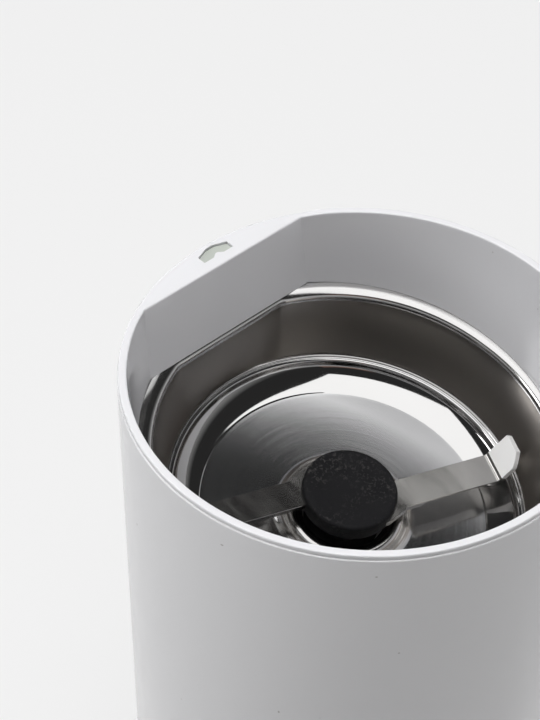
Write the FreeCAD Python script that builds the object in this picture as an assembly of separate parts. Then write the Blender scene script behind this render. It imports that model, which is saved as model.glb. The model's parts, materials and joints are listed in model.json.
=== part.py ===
import FreeCAD, Part
import math
import os
from FreeCAD import Vector, Placement, Rotation

# Electric spice grinder with its lid off, in millimetres, +Z up.
# The origin is the middle of the footprint, on the surface that the feet stand on.
# The front is -Y. The flat side of the mouth, with the lid's interlock slot, is at the back, +Y.
# The bowl, the blade and the motor share one axis that leans towards the front.
# Their pieces are drawn upright in the tilted frame and then leaned over by place_tilted.
# Tilted heights are counted from the point where that axis meets the rim plane.

# Overall sizes
TOTAL_HEIGHT = 130.0
RIM_RADIUS = 45.0
BODY_DRAFT = 0.010
HOUSING_BORE = 42.6
FOOT_HEIGHT = 2.5
TILT = 10.5
AXIS_OFFSET = 4.72

# Mouth of the collar
MOUTH_RADIUS = 43.2
MOUTH_DRAFT = 0.09
FLANGE_RADIUS = 44.75
FLANGE_THICKNESS = 0.85
PARTING_GAP = 0.15
CHORD_Y = 38.3
CHORD_DRAFT = 7.0
DECK_DROP = 0.15
DECK_EDGE_RADIUS = 44.0
DECK_THICKNESS = 1.8
REBATE_RADIUS = 44.0
REBATE_DEPTH = 12.0
SKIRT_RADIUS = 43.3
SKIRT_DEPTH = 34.0

# Interlock slot in the deck, a shallow chevron
SLOT_X = 0.7
SLOT_HALF = 3.65
SLOT_INNER_Y = 40.6
SLOT_NOTCH = 0.9
SLOT_OUTER_Y = 42.5
SLOT_APEX_Y = 43.6

# Bowl, heights along the tilted axis
BOWL_WALL = 0.7
BOWL_TOP = -23.65
BOWL_RADIUS = 39.2
BOWL_CHORD = 36.8
BOWL_CORNER = 4.0
BOWL_FLANGE_RADIUS = 41.9
BOWL_FLANGE_CHORD = 38.2
DISH_TOP = -38.0
DISH_RADIUS = 35.3
DISH_FLOOR = -43.0
BOSS_RADIUS = 11.7
BOSS_TOP = -41.0
BOSS_HOLE = 7.6
GASKET_THICKNESS = 0.8

# Blade and its hub
HUB_RADIUS = 9.45
HUB_TOP = -34.7
HUB_BOTTOM = -38.3
BLADE_TOP = -36.4
BLADE_THICKNESS = 1.3
BLADE_WIDTH = 6.3
BLADE_BEND = 30.0
BLADE_AZIMUTH = -19.0
TIP_LENGTH = 6.2
TIP_ANGLE = 57.0
SLEEVE_RADIUS = 6.2
SLEEVE_BOTTOM = -43.4

# Chassis that carries the bowl and the motor
CHASSIS_PLATE_TOP = -47.0
CHASSIS_PLATE_BOTTOM = -49.6
CHASSIS_BACK_Y = 38.9
CHASSIS_CLEARANCE = 0.35
CHASSIS_SCREW_RADIUS = 38.4
CHASSIS_SCREW_AZIMUTHS = (-90, 0, 180)

# Motor, heights along the tilted axis
SHAFT_RADIUS = 2.5
RUNNING_FIT = 0.04
GROMMET_RING = 20.5
GROMMET_HEIGHT = 2.8
BRACKET_THICKNESS = 1.8
UPPER_BRACKET_TOP = -52.4
FAN_TOP = -56.6
FAN_RADIUS = 20.0
STATOR_TOP = -68.0
STATOR_BOTTOM = -90.0
STATOR_RADIUS = 23.4
YOKE_RADIUS = 18.8
SHOE_RADIUS = 15.0
POLE_HALF = 7.8
BOLT_RING = 21.2
BOLT_AZIMUTHS = (60, 120, 240, 300)
ROTOR_RADIUS = 12.2
AIR_GAP = 0.45
COMMUTATOR_TOP = -96.5
COMMUTATOR_BOTTOM = -104.5
COMMUTATOR_RADIUS = 6.6
LOWER_BRACKET_TOP = -108.0
SHAFT_TOP = -36.0
SHAFT_BOTTOM = -113.5
BEARING_RADIUS = 6.0

# Interlock rod, its spring and the switch, at the back wall
ROD_WIDTH = 6.4
ROD_BACK_Y = 42.1
ROD_THICKNESS = 1.7
ROD_FIT = 0.12
BUTTON_DROP = 0.5
BUTTON_DEPTH = 5.6
TOE_BOTTOM = 79.9
SPRING_WIRE = 0.5
SPRING_RADIUS = 1.25
SPRING_TURNS = 4
SPRING_SHELF_Z = 66.0
SWITCH_TOP = 75.6
SWITCH_SIZE = (20.0, 6.0, 10.0)
SWITCH_Y = 36.0
SWITCH_STUD_X = 15.0
PIN_Z = SWITCH_TOP + 1.6
PIN_RADIUS = 0.45
LEVER_HINGE_X = -8.0
LEVER_ARM = 12.0
LEVER_ANGLE = 10.5

# Base
BASE_TOP = 5.2
BASE_BOTTOM = 2.8
BASE_SCREW_RADIUS = 35.5
BASE_SCREW_AZIMUTHS = (30, 150, 270)
FOOT_RING = 31.0
FOOT_RADIUS = 5.0
GLAND_Z = 15.0
CORD_HOLE = 2.3

CENTRE = Vector(0, 0, 0)
UP = Vector(0, 0, 1)


# Placement and outline helpers

def rim_z(drop):
    return TOTAL_HEIGHT - drop


def place_tilted(shape):
    lean = Placement(Vector(0, -AXIS_OFFSET, TOTAL_HEIGHT), Rotation(Vector(1, 0, 0), TILT))
    moved = shape.copy()
    moved.Placement = lean.multiply(moved.Placement)
    return moved


def polar(radius, azimuth, height=0.0):
    turn = math.radians(azimuth)
    return Vector(radius * math.cos(turn), radius * math.sin(turn), height)


def rounded_edges(corners):
    # corners are (a, b, size): a closed outline whose corners are rounded by tangent arcs
    # a negative size is a straight chamfer of that length on both sides
    count = len(corners)
    starts = []
    arcs = []
    for index, (a, b, radius) in enumerate(corners):
        here = Vector(a, 0, b)
        before = corners[index - 1]
        after = corners[(index + 1) % count]
        to_before = Vector(before[0] - a, 0, before[1] - b).normalize()
        to_after = Vector(after[0] - a, 0, after[1] - b).normalize()
        if radius == 0:
            starts.append((here, here))
            arcs.append(None)
            continue
        if radius < 0:
            first = here - to_before * radius
            last = here - to_after * radius
            starts.append((first, last))
            arcs.append(Part.LineSegment(first, last).toShape())
            continue
        half = to_before.getAngle(to_after) / 2
        reach = radius / math.tan(half)
        middle_way = (to_before + to_after).normalize()
        centre = here + middle_way * (radius / math.sin(half))
        first = here + to_before * reach
        last = here + to_after * reach
        starts.append((first, last))
        arcs.append(Part.Arc(first, centre - middle_way * radius, last).toShape())
    edges = []
    for index in range(count):
        if arcs[index] is not None:
            edges.append(arcs[index])
        line_start = starts[index][1]
        line_end = starts[(index + 1) % count][0]
        if line_start.distanceToPoint(line_end) > 1e-6:
            edges.append(Part.LineSegment(line_start, line_end).toShape())
    return edges


def turned(corners):
    # a solid of revolution about Z from (radius, height, corner radius) points
    face = Part.Face(Part.Wire(rounded_edges(corners)))
    return face.revolve(CENTRE, UP, 360)


def plain(points):
    return [(a, b, 0) for a, b in points]


def outline_xy(corners, height):
    # the same rounded outline laid flat in the XY plane at a height
    face = Part.Face(Part.Wire(rounded_edges(corners)))
    face.rotate(CENTRE, Vector(1, 0, 0), -90)
    face.translate(Vector(0, 0, height))
    return face


def slab(corners, low, high):
    # a flat plate from a rounded outline
    return outline_xy(corners, low).extrude(Vector(0, 0, high - low))


def rod(radius, low, high, spot=CENTRE):
    return Part.makeCylinder(radius, high - low, Vector(spot.x, spot.y, low))


def tube(outer, inner, low, high, spot=CENTRE):
    return rod(outer, low, high, spot).cut(rod(inner, low - 1, high + 1, spot))


def peg(sides, radius, low, high, spot=CENTRE, across=False):
    # a small many-sided prism in place of a cylinder
    # across puts the middles of the flats on the radius instead of the corners
    if across:
        radius = radius / math.cos(math.pi / sides)
    corners = []
    for side in range(sides):
        turn = (side + 0.5) * 2 * math.pi / sides
        corners.append((spot.x + radius * math.cos(turn), spot.y + radius * math.sin(turn), 0))
    return slab(corners, low, high)


def level_peg(sides, radius, start, end, spot, across=True):
    # a small many-sided prism that lies along +Y from a spot
    bar = peg(sides, radius, start, end, CENTRE, across)
    bar.rotate(CENTRE, Vector(1, 0, 0), -90)
    bar.translate(spot)
    return bar


def sleeve(sides, outer, inner, low, high, spot=CENTRE):
    # a small many-sided ring whose hole clears a round shank of the inner radius
    return peg(sides, outer, low, high, spot).cut(peg(sides, inner, low - 1, high + 1, spot, True))


def block(x0, x1, y0, y1, z0, z1):
    return Part.makeBox(x1 - x0, y1 - y0, z1 - z0, Vector(x0, y0, z0))


def around(shape, count, start=0.0):
    copies = []
    for index in range(count):
        copy = shape.copy()
        copy.rotate(CENTRE, UP, start + index * 360.0 / count)
        copies.append(copy)
    return copies


def join(shapes):
    whole = shapes[0]
    if len(shapes) > 1:
        whole = whole.fuse(shapes[1:])
    return whole.removeSplitter()


def screw(head_radius, head_height, shank_radius, length, top, spot):
    # a hexagon head on a six-sided shank, and top is the height of the head's top
    head = peg(6, head_radius, top - head_height, top, spot)
    return head.fuse(peg(6, shank_radius, top - head_height - length, top - head_height, spot))


# Cutting tools shared by the pieces

def in_front_of_chord(offset=0.0):
    # everything in front of the drafted flat wall, moved back by an offset
    front = block(-60, 60, -60, CHORD_Y + offset, rim_z(90), rim_z(-30))
    front.rotate(Vector(0, CHORD_Y + offset, rim_z(0)), Vector(1, 0, 0), -CHORD_DRAFT)
    return front


def on_chassis_plate(shape, spot):
    # leans a piece over and stands its origin on the plate's top face, above or below a point of the plan
    lean = math.radians(TILT)
    drop = (CHASSIS_PLATE_TOP + (spot.y + AXIS_OFFSET) * math.sin(lean)) / math.cos(lean)
    moved = shape.copy()
    moved.Placement = Placement(Vector(spot.x, spot.y, TOTAL_HEIGHT + drop), Rotation(Vector(1, 0, 0), TILT))
    return moved


def above_tilted(height, top=40.0):
    return place_tilted(block(-80, 80, -80, 80, height, top))


def housing_radius(height):
    return RIM_RADIUS - BODY_DRAFT * (rim_z(1) - height)


def slot_outline():
    left = SLOT_X - SLOT_HALF
    right = SLOT_X + SLOT_HALF
    return [
        (left, SLOT_INNER_Y, 0),
        (SLOT_X - 1.3, SLOT_INNER_Y, 0),
        (SLOT_X, SLOT_INNER_Y + SLOT_NOTCH, 0.3),
        (SLOT_X + 1.3, SLOT_INNER_Y, 0),
        (right, SLOT_INNER_Y, 0),
        (right, SLOT_OUTER_Y, 0),
        (SLOT_X + 0.7, SLOT_APEX_Y, 0),
        (SLOT_X - 0.7, SLOT_APEX_Y, 0),
        (left, SLOT_OUTER_Y, 0),
    ]


# Housing and collar

def make_outer_housing():
    low = FOOT_HEIGHT
    top = rim_z(FLANGE_THICKNESS + PARTING_GAP)
    shell = turned([
        (HOUSING_BORE, low, 0),
        (housing_radius(low), low, -0.6),
        (housing_radius(top), top, -0.35),
        (REBATE_RADIUS, top, 0),
        (REBATE_RADIUS, rim_z(REBATE_DEPTH), 0),
        (SKIRT_RADIUS, rim_z(REBATE_DEPTH), 0),
        (SKIRT_RADIUS, rim_z(SKIRT_DEPTH), 0),
        (HOUSING_BORE, rim_z(SKIRT_DEPTH), 0),
    ])
    pieces = [shell]
    inside = rod(HOUSING_BORE + 0.4, low, rim_z(SKIRT_DEPTH + 1))
    # posts for the chassis screws, cut to the tilt of the plate that they carry
    for azimuth in CHASSIS_SCREW_AZIMUTHS:
        spot = polar(CHASSIS_SCREW_RADIUS, azimuth)
        post = block(CHASSIS_SCREW_RADIUS - 3.0, 44.5, -3.0, 3.0, 52, rim_z(20))
        post.rotate(CENTRE, UP, azimuth)
        post = post.common(inside).cut(above_tilted(CHASSIS_PLATE_BOTTOM))
        pieces.append(post.cut(on_chassis_plate(peg(6, 1.1, -12, 10, CENTRE, True), spot)))
    # posts for the base screws
    for azimuth in BASE_SCREW_AZIMUTHS:
        spot = polar(BASE_SCREW_RADIUS, azimuth)
        post = block(BASE_SCREW_RADIUS - 3.2, 44.5, -3.2, 3.2, BASE_TOP, 20)
        post.rotate(CENTRE, UP, azimuth)
        pieces.append(post.common(inside).cut(peg(6, 1.2, 0, 17, spot, True)))
    # channel that guides the interlock rod, and the shelf under its spring
    side = ROD_WIDTH / 2 + 0.25
    for low_x, high_x in ((-side - 1.4, -side), (side, side + 1.4)):
        rib = block(low_x, high_x, 40.0, 44.0, SPRING_SHELF_Z - 3, 100)
        pieces.append(rib.common(inside))
    shelf = block(-side - 1.4, side + 1.4, 39.2, 44.0, SPRING_SHELF_Z - 2.2, SPRING_SHELF_Z)
    pieces.append(shelf.common(inside))
    # two studs for the switch bracket
    stud_y = SWITCH_Y - SWITCH_SIZE[1] / 2 + 1.6
    for stud_x in (-SWITCH_STUD_X, SWITCH_STUD_X):
        foot = Vector(stud_x, stud_y, SWITCH_TOP - 5)
        stud = block(-2.4, 2.4, 0, 9, -2.4, 2.4)
        stud.translate(foot)
        pieces.append(stud.common(inside).cut(level_peg(6, 0.9, 0, 5, foot)))
    housing = join(pieces)
    # hole for the cord's bush
    return housing.cut(Part.makeCylinder(4.0, 8, Vector(0, 38, GLAND_Z), Vector(0, 1, 0)))


def make_top_collar():
    top = rim_z(0)
    spigot = REBATE_RADIUS - 0.08
    lower = SKIRT_RADIUS - 0.12
    low = rim_z(44)
    body = turned([
        (0, low, 0),
        (lower, low, 0),
        (lower, rim_z(REBATE_DEPTH - 0.3), 0),
        (spigot, rim_z(REBATE_DEPTH - 0.3), 0),
        (spigot, rim_z(FLANGE_THICKNESS), 0),
        (FLANGE_RADIUS, rim_z(FLANGE_THICKNESS), 0),
        (FLANGE_RADIUS, top, -0.4),
        (0, top, 0),
    ])
    mouth = turned([
        (0, low - 1, 0),
        (MOUTH_RADIUS - MOUTH_DRAFT * 45, low - 1, 0),
        (MOUTH_RADIUS, top - 0.2, 0),
        (MOUTH_RADIUS + 0.35, top + 0.2, 0),
        (MOUTH_RADIUS + 0.35, top + 5, 0),
        (0, top + 5, 0),
    ])
    body = body.cut(mouth.common(in_front_of_chord()))
    # the deck lies a little lower than the lip and has a broad chamfer on its outer edge
    deck_cut = turned([
        (30, rim_z(DECK_DROP), 0),
        (DECK_EDGE_RADIUS, rim_z(DECK_DROP), 0),
        (FLANGE_RADIUS + 0.1, rim_z(FLANGE_THICKNESS - 0.05), 0),
        (FLANGE_RADIUS + 3, rim_z(FLANGE_THICKNESS - 0.05), 0),
        (FLANGE_RADIUS + 3, rim_z(-3), 0),
        (30, rim_z(-3), 0),
    ])
    half = math.sqrt(MOUTH_RADIUS ** 2 - CHORD_Y ** 2)
    ends = slab([
        (-half - 1.2, CHORD_Y - 4, 0),
        (half + 1.2, CHORD_Y - 4, 0),
        (half + 4.5, 52, 0),
        (-half - 4.5, 52, 0),
    ], rim_z(3), rim_z(-4))
    body = body.cut(deck_cut.common(ends))
    # pocket behind the flat wall, where the interlock rod runs
    pocket = rod(42.5, rim_z(60), rim_z(DECK_DROP + DECK_THICKNESS))
    pocket = pocket.cut(in_front_of_chord(1.5))
    pocket = pocket.cut(block(-60, 60, -60, CHORD_Y - 4, rim_z(61), rim_z(-1)))
    body = body.cut(pocket)
    body = body.cut(slab(slot_outline(), rim_z(BUTTON_DEPTH), rim_z(-1)))
    # behind the button the skirt is open, so that the button's point can travel down
    underside = rim_z(DECK_DROP + DECK_THICKNESS)
    reach = SLOT_HALF + 0.4
    body = body.cut(block(SLOT_X - reach, SLOT_X + reach, 41.8, 46, rim_z(BUTTON_DEPTH), underside))
    return body.common(above_tilted(BOWL_TOP + 0.05))


# Bowl

def d_wire(radius, chord, corner, height):
    # a circle with its back cut off by a straight chord, with rounded corners, as eight edges
    small = radius - corner
    rise = chord - corner
    across = math.sqrt(small ** 2 - rise ** 2)
    corner_centre = Vector(across, rise, height)
    outward = Vector(across, rise, 0).normalize()
    touch = corner_centre + outward * corner
    flat_end = Vector(across, chord, height)
    half_turn = math.atan2(chord - rise, 0)
    middle = math.atan2(outward.y, outward.x) / 2 + half_turn / 2
    corner_mid = corner_centre + Vector(math.cos(middle), math.sin(middle), 0) * corner
    touch_angle = math.degrees(math.atan2(touch.y, touch.x))
    stops = [touch_angle, 0, -45, -90]
    edges = [Part.LineSegment(Vector(0, chord, height), flat_end).toShape()]
    edges.append(Part.Arc(flat_end, corner_mid, touch).toShape())
    for begin, end in zip(stops[:-1], stops[1:]):
        mid_point = polar(radius, (begin + end) / 2, height)
        edges.append(Part.Arc(polar(radius, begin, height), mid_point, polar(radius, end, height)).toShape())
    mirrored = []
    for edge in reversed(edges):
        twin = edge.mirror(CENTRE, Vector(1, 0, 0))
        mirrored.append(twin)
    return Part.Wire(Part.__sortEdges__(edges + mirrored))


def circle_wire(radius, chord, corner, reference, height):
    # a circle split where the D-shaped outline of the reference radius has its joints
    small = reference - corner
    rise = chord - corner
    across = math.sqrt(small ** 2 - rise ** 2)
    flat_angle = math.degrees(math.atan2(chord, across))
    touch_angle = math.degrees(math.atan2(rise, across))
    stops = [90, flat_angle, touch_angle, 0, -45, -90]
    edges = []
    for begin, end in zip(stops[:-1], stops[1:]):
        mid_point = polar(radius, (begin + end) / 2, height)
        edges.append(Part.Arc(polar(radius, begin, height), mid_point, polar(radius, end, height)).toShape())
    mirrored = [edge.mirror(CENTRE, Vector(1, 0, 0)) for edge in reversed(edges)]
    return Part.Wire(Part.__sortEdges__(edges + mirrored))


def d_to_circle(grow, top, low):
    # the funnel between the D-shaped top and the round dish, grown outwards by a wall thickness
    upper = d_wire(BOWL_RADIUS + grow, BOWL_CHORD + grow, BOWL_CORNER + grow, top)
    lower = circle_wire(DISH_RADIUS + grow, BOWL_CHORD + grow, BOWL_CORNER + grow, BOWL_RADIUS + grow, low)
    return Part.makeLoft([upper, lower], True, True)


def d_prism(radius, chord, corner, low, high):
    face = Part.Face(d_wire(radius, chord, corner, low))
    return face.extrude(Vector(0, 0, high - low))


def dish_void():
    # the round polished dish with its step, floor and centre boss
    return turned([
        (0, DISH_TOP + 0.5, 0),
        (DISH_RADIUS, DISH_TOP + 0.5, 0),
        (DISH_RADIUS, DISH_TOP - 0.9, -0.35),
        (DISH_RADIUS - 1.3, DISH_TOP - 0.9, -0.3),
        (DISH_RADIUS - 1.9, DISH_TOP - 2.6, 0),
        (DISH_RADIUS - 4.2, DISH_FLOOR, 3.4),
        (13.6, DISH_FLOOR, 0),
        (BOSS_RADIUS, BOSS_TOP - 0.5, 0),
        (BOSS_RADIUS - 1.2, BOSS_TOP, 0),
        (9.6, BOSS_TOP, 0),
        (9.2, BOSS_TOP + 0.5, 0),
        (BOSS_HOLE, BOSS_TOP + 0.5, 0),
        (BOSS_HOLE, DISH_FLOOR - 1.6, 0),
        (0, DISH_FLOOR - 1.6, 0),
    ])


def dish_outside():
    # the underside of the dish, one wall thickness outside the void and plainer
    wall = BOWL_WALL
    return turned(plain([
        (0, DISH_TOP + 0.5),
        (DISH_RADIUS + wall, DISH_TOP + 0.5),
        (DISH_RADIUS + wall, DISH_TOP - 0.9 - wall),
        (DISH_RADIUS - 1.2 + wall, DISH_TOP - 2.6 - wall),
        (DISH_RADIUS - 4.6 + wall, DISH_FLOOR - wall),
        (BOSS_HOLE + wall, DISH_FLOOR - wall),
        (BOSS_HOLE + wall, DISH_FLOOR - 1.6),
        (0, DISH_FLOOR - 1.6),
    ]))


def make_grinding_bowl():
    outer = d_to_circle(BOWL_WALL, BOWL_TOP - 0.4, DISH_TOP)
    flange = d_prism(BOWL_FLANGE_RADIUS, BOWL_FLANGE_CHORD, 6.5, BOWL_TOP - BOWL_WALL, BOWL_TOP)
    steel = join([outer, flange, dish_outside()])
    inner = d_to_circle(0.0, BOWL_TOP + 0.01, DISH_TOP)
    bead = d_prism(BOWL_RADIUS + 0.45, BOWL_CHORD + 0.45, BOWL_CORNER + 0.45, BOWL_TOP - 0.3, BOWL_TOP + 1)
    steel = steel.cut(inner)
    steel = steel.cut(bead)
    steel = steel.cut(dish_void())
    return place_tilted(steel)


def make_bowl_gasket():
    low = BOWL_TOP - BOWL_WALL - GASKET_THICKNESS
    high = BOWL_TOP - BOWL_WALL
    ring = d_prism(BOWL_FLANGE_RADIUS - 0.1, BOWL_FLANGE_CHORD - 0.1, 6.4, low, high)
    hole = d_prism(BOWL_RADIUS + 1.1, BOWL_CHORD + 1.0, 5.9, low - 1, high + 1)
    return place_tilted(ring.cut(hole))


# Chassis

def make_inner_chassis():
    top = BOWL_TOP - BOWL_WALL - GASKET_THICKNESS
    wall = turned(plain([
        (41.5, top),
        (35.9, CHASSIS_PLATE_TOP),
        (35.9, CHASSIS_PLATE_BOTTOM),
        (34.4, CHASSIS_PLATE_BOTTOM),
        (34.4, CHASSIS_PLATE_TOP),
        (40.2, top),
    ]))
    flat = block(-60, 60, -60, BOWL_FLANGE_CHORD + 0.2, -160, 40)
    back = block(-21.5, 21.5, BOWL_FLANGE_CHORD - 0.6, BOWL_FLANGE_CHORD + 0.2, CHASSIS_PLATE_BOTTOM, top)
    back = back.common(turned(plain([(0, -60), (36.0, -60), (38.0, -43), (41.4, top), (0, top)])))
    wall = join([wall.common(flat), back])
    wall = place_tilted(wall)
    plate = place_tilted(rod(60, CHASSIS_PLATE_BOTTOM, CHASSIS_PLATE_TOP))
    plate = plate.common(rod(HOUSING_BORE - CHASSIS_CLEARANCE, 40, rim_z(20)))
    plate = plate.common(block(-60, 60, -60, CHASSIS_BACK_Y, 0, 200))
    ribs = [place_tilted(rib) for rib in around(block(14.0, 34.2, -0.8, 0.8, -48.0, -45.2), 3, 30)]
    boss = place_tilted(rod(14.2, -48.0, -45.2))
    chassis = join([wall, plate, boss] + ribs)
    chassis = chassis.common(block(-60, 60, -60, 40.0, 0, 200))
    chassis = chassis.cut(place_tilted(peg(16, BOSS_HOLE, -60, -40, CENTRE, True)))
    for azimuth in CHASSIS_SCREW_AZIMUTHS:
        hole = peg(6, 1.4, -6, 10, CENTRE, True)
        chassis = chassis.cut(on_chassis_plate(hole, polar(CHASSIS_SCREW_RADIUS, azimuth)))
    for hole in around(peg(8, 2.6, -60, -40, Vector(GROMMET_RING, 0, 0), True), 3, 90):
        chassis = chassis.cut(place_tilted(hole))
    return chassis


def make_chassis_screws():
    screws = []
    for azimuth in CHASSIS_SCREW_AZIMUTHS:
        fixing = screw(2.4, 1.6, 1.1, 8.5, 1.6, CENTRE)
        screws.append(on_chassis_plate(fixing, polar(CHASSIS_SCREW_RADIUS, azimuth)))
    return Part.makeCompound(screws)


def make_shaft_seal():
    # a rubber ring round the shaft, under the bowl
    return place_tilted(join([
        sleeve(16, BOSS_HOLE, SHAFT_RADIUS + RUNNING_FIT, -49.2, -46.4),
        sleeve(16, 4.6, SHAFT_RADIUS + RUNNING_FIT, -46.5, -44.6),
    ]))


# Motor frame

def make_motor_grommets():
    # a soft spool in each hole of the plate, with the motor hanging under it
    low = CHASSIS_PLATE_BOTTOM - GROMMET_HEIGHT
    spot = Vector(GROMMET_RING, 0, 0)
    spool = join([
        peg(8, 4.2, low, CHASSIS_PLATE_BOTTOM, spot),
        peg(8, 2.6, CHASSIS_PLATE_BOTTOM - 0.5, CHASSIS_PLATE_TOP + 0.5, spot),
        peg(8, 4.2, CHASSIS_PLATE_TOP, CHASSIS_PLATE_TOP + 0.9, spot),
    ])
    spool = spool.cut(peg(6, 1.7, low - 1, CHASSIS_PLATE_TOP + 2, spot, True))
    return place_tilted(Part.makeCompound(around(spool, 3, 90)))


def make_motor_screws():
    top = CHASSIS_PLATE_TOP + 0.9 + 1.5
    fixing = screw(3.0, 1.5, 1.6, 8.4, top, Vector(GROMMET_RING, 0, 0))
    return place_tilted(Part.makeCompound(around(fixing, 3, 90)))


def bracket_plate(top, low):
    # a rectangle with cropped corners that carries the bearing and the four long bolts
    corners = [(-14.2, -21.6, -3.0), (14.2, -21.6, -3.0), (14.2, 21.6, -3.0), (-14.2, 21.6, -3.0)]
    return slab(corners, low, top)


def make_upper_bracket():
    low = UPPER_BRACKET_TOP - BRACKET_THICKNESS
    ears = around(block(0, 24.6, -4.4, 4.4, low, UPPER_BRACKET_TOP), 3, 90)
    posts = [peg(6, 2.5, STATOR_TOP, low + 0.5, polar(BOLT_RING, azimuth)) for azimuth in BOLT_AZIMUTHS]
    bracket = join([bracket_plate(UPPER_BRACKET_TOP, low)] + ears + posts)
    bracket = bracket.cut(peg(12, BEARING_RADIUS, low - 1, UPPER_BRACKET_TOP + 1))
    for hole in around(peg(6, 1.6, low - 1, UPPER_BRACKET_TOP + 1, Vector(GROMMET_RING, 0, 0), True), 3, 90):
        bracket = bracket.cut(hole)
    for azimuth in BOLT_AZIMUTHS:
        spot = polar(BOLT_RING, azimuth)
        bracket = bracket.cut(peg(6, 1.15, STATOR_TOP - 1, UPPER_BRACKET_TOP + 1, spot, True))
    return place_tilted(bracket)


def make_lower_bracket():
    low = LOWER_BRACKET_TOP - BRACKET_THICKNESS
    pieces = [bracket_plate(LOWER_BRACKET_TOP, low)]
    for azimuth in BOLT_AZIMUTHS:
        pieces.append(peg(6, 2.5, LOWER_BRACKET_TOP - 0.5, STATOR_BOTTOM, polar(BOLT_RING, azimuth)))
    bracket = join(pieces)
    bracket = bracket.cut(peg(12, BEARING_RADIUS, low - 1, LOWER_BRACKET_TOP + 1))
    for azimuth in BOLT_AZIMUTHS:
        spot = polar(BOLT_RING, azimuth)
        bracket = bracket.cut(peg(6, 1.15, low - 1, STATOR_BOTTOM + 1, spot, True))
    return place_tilted(bracket)


def make_bracket_bolts():
    bolts = []
    length = UPPER_BRACKET_TOP - LOWER_BRACKET_TOP + BRACKET_THICKNESS + 1.5
    for azimuth in BOLT_AZIMUTHS:
        bolts.append(screw(2.3, 1.4, 1.15, length, UPPER_BRACKET_TOP + 1.4, polar(BOLT_RING, azimuth)))
    return place_tilted(Part.makeCompound(bolts))


def make_bearing(low, high):
    # a bush with flats, a hair smaller than its seat
    return place_tilted(sleeve(12, BEARING_RADIUS - 0.02, SHAFT_RADIUS + RUNNING_FIT, low, high))


def make_bearing_retainers():
    lower = LOWER_BRACKET_TOP - BRACKET_THICKNESS
    washers = []
    for low in (UPPER_BRACKET_TOP, lower - 0.6):
        washers.append(sleeve(12, 9.0, BEARING_RADIUS + 0.05, low, low + 0.6))
    return place_tilted(Part.makeCompound(washers))


def make_stator_core():
    # a round yoke with two pole bodies that end in curved shoes
    yoke = tube(STATOR_RADIUS, YOKE_RADIUS, STATOR_BOTTOM, STATOR_TOP)
    poles = block(-POLE_HALF, POLE_HALF, -YOKE_RADIUS - 1, YOKE_RADIUS + 1, STATOR_BOTTOM, STATOR_TOP)
    shoes = rod(SHOE_RADIUS, STATOR_BOTTOM, STATOR_TOP)
    shoes = shoes.cut(block(-30, 30, -6.0, 6.0, STATOR_BOTTOM - 1, STATOR_TOP + 1))
    core = join([yoke, poles, shoes])
    core = core.cut(rod(ROTOR_RADIUS + AIR_GAP, STATOR_BOTTOM - 1, STATOR_TOP + 1))
    for azimuth in BOLT_AZIMUTHS:
        spot = polar(BOLT_RING, azimuth)
        core = core.cut(peg(6, 1.15, STATOR_BOTTOM - 1, STATOR_TOP + 1, spot, True))
    return place_tilted(core)


def make_field_coils():
    # one curved coil around each pole body, with rounded ends above and below the core
    low = STATOR_BOTTOM - 4.0
    high = STATOR_TOP + 4.0
    band = tube(YOKE_RADIUS - 0.3, SHOE_RADIUS + 0.2, low, high)
    sector = slab([
        (-14.5, 6.5, 0),
        (14.5, 6.5, 0),
        (14.5, 24.0, 0),
        (-14.5, 24.0, 0),
    ], low, high)
    core_hole = block(-POLE_HALF - 0.2, POLE_HALF + 0.2, 0, 30, STATOR_BOTTOM - 0.2, STATOR_TOP + 0.2)
    coil = band.common(sector).cut(core_hole)
    return place_tilted(Part.makeCompound(around(coil, 2)))


# Brush gear

def brush_box(grow, inner, outer):
    return block(inner, outer, -1.8 - grow, 1.8 + grow, -102.6 - grow, -98.4 + grow)


def make_brush_holders():
    holders = []
    holder = brush_box(0.6, 8.4, 17.6).cut(brush_box(0.05, 5.0, 17.0))
    foot = block(12.0, 15.4, -2.4, 2.4, LOWER_BRACKET_TOP, -103.2)
    holder = join([holder, foot])
    for half in (0, 180):
        copy = holder.copy()
        copy.rotate(CENTRE, UP, half)
        holders.append(copy)
    return place_tilted(Part.makeCompound(holders))


def make_carbon_brushes():
    brush = brush_box(0.0, COMMUTATOR_RADIUS - 1, 13.4)
    brush = brush.cut(rod(COMMUTATOR_RADIUS + RUNNING_FIT, -110, -90))
    return place_tilted(Part.makeCompound(around(brush, 2)))


def make_brush_springs():
    spring = sleeve(8, 1.5, 1.0, 13.4, 17.0)
    spring.rotate(CENTRE, Vector(0, 1, 0), 90)
    spring.translate(Vector(0, 0, -100.5))
    return place_tilted(Part.makeCompound(around(spring, 2)))


# Rotor: blade, hub, shaft, winding, commutator and fan

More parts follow.
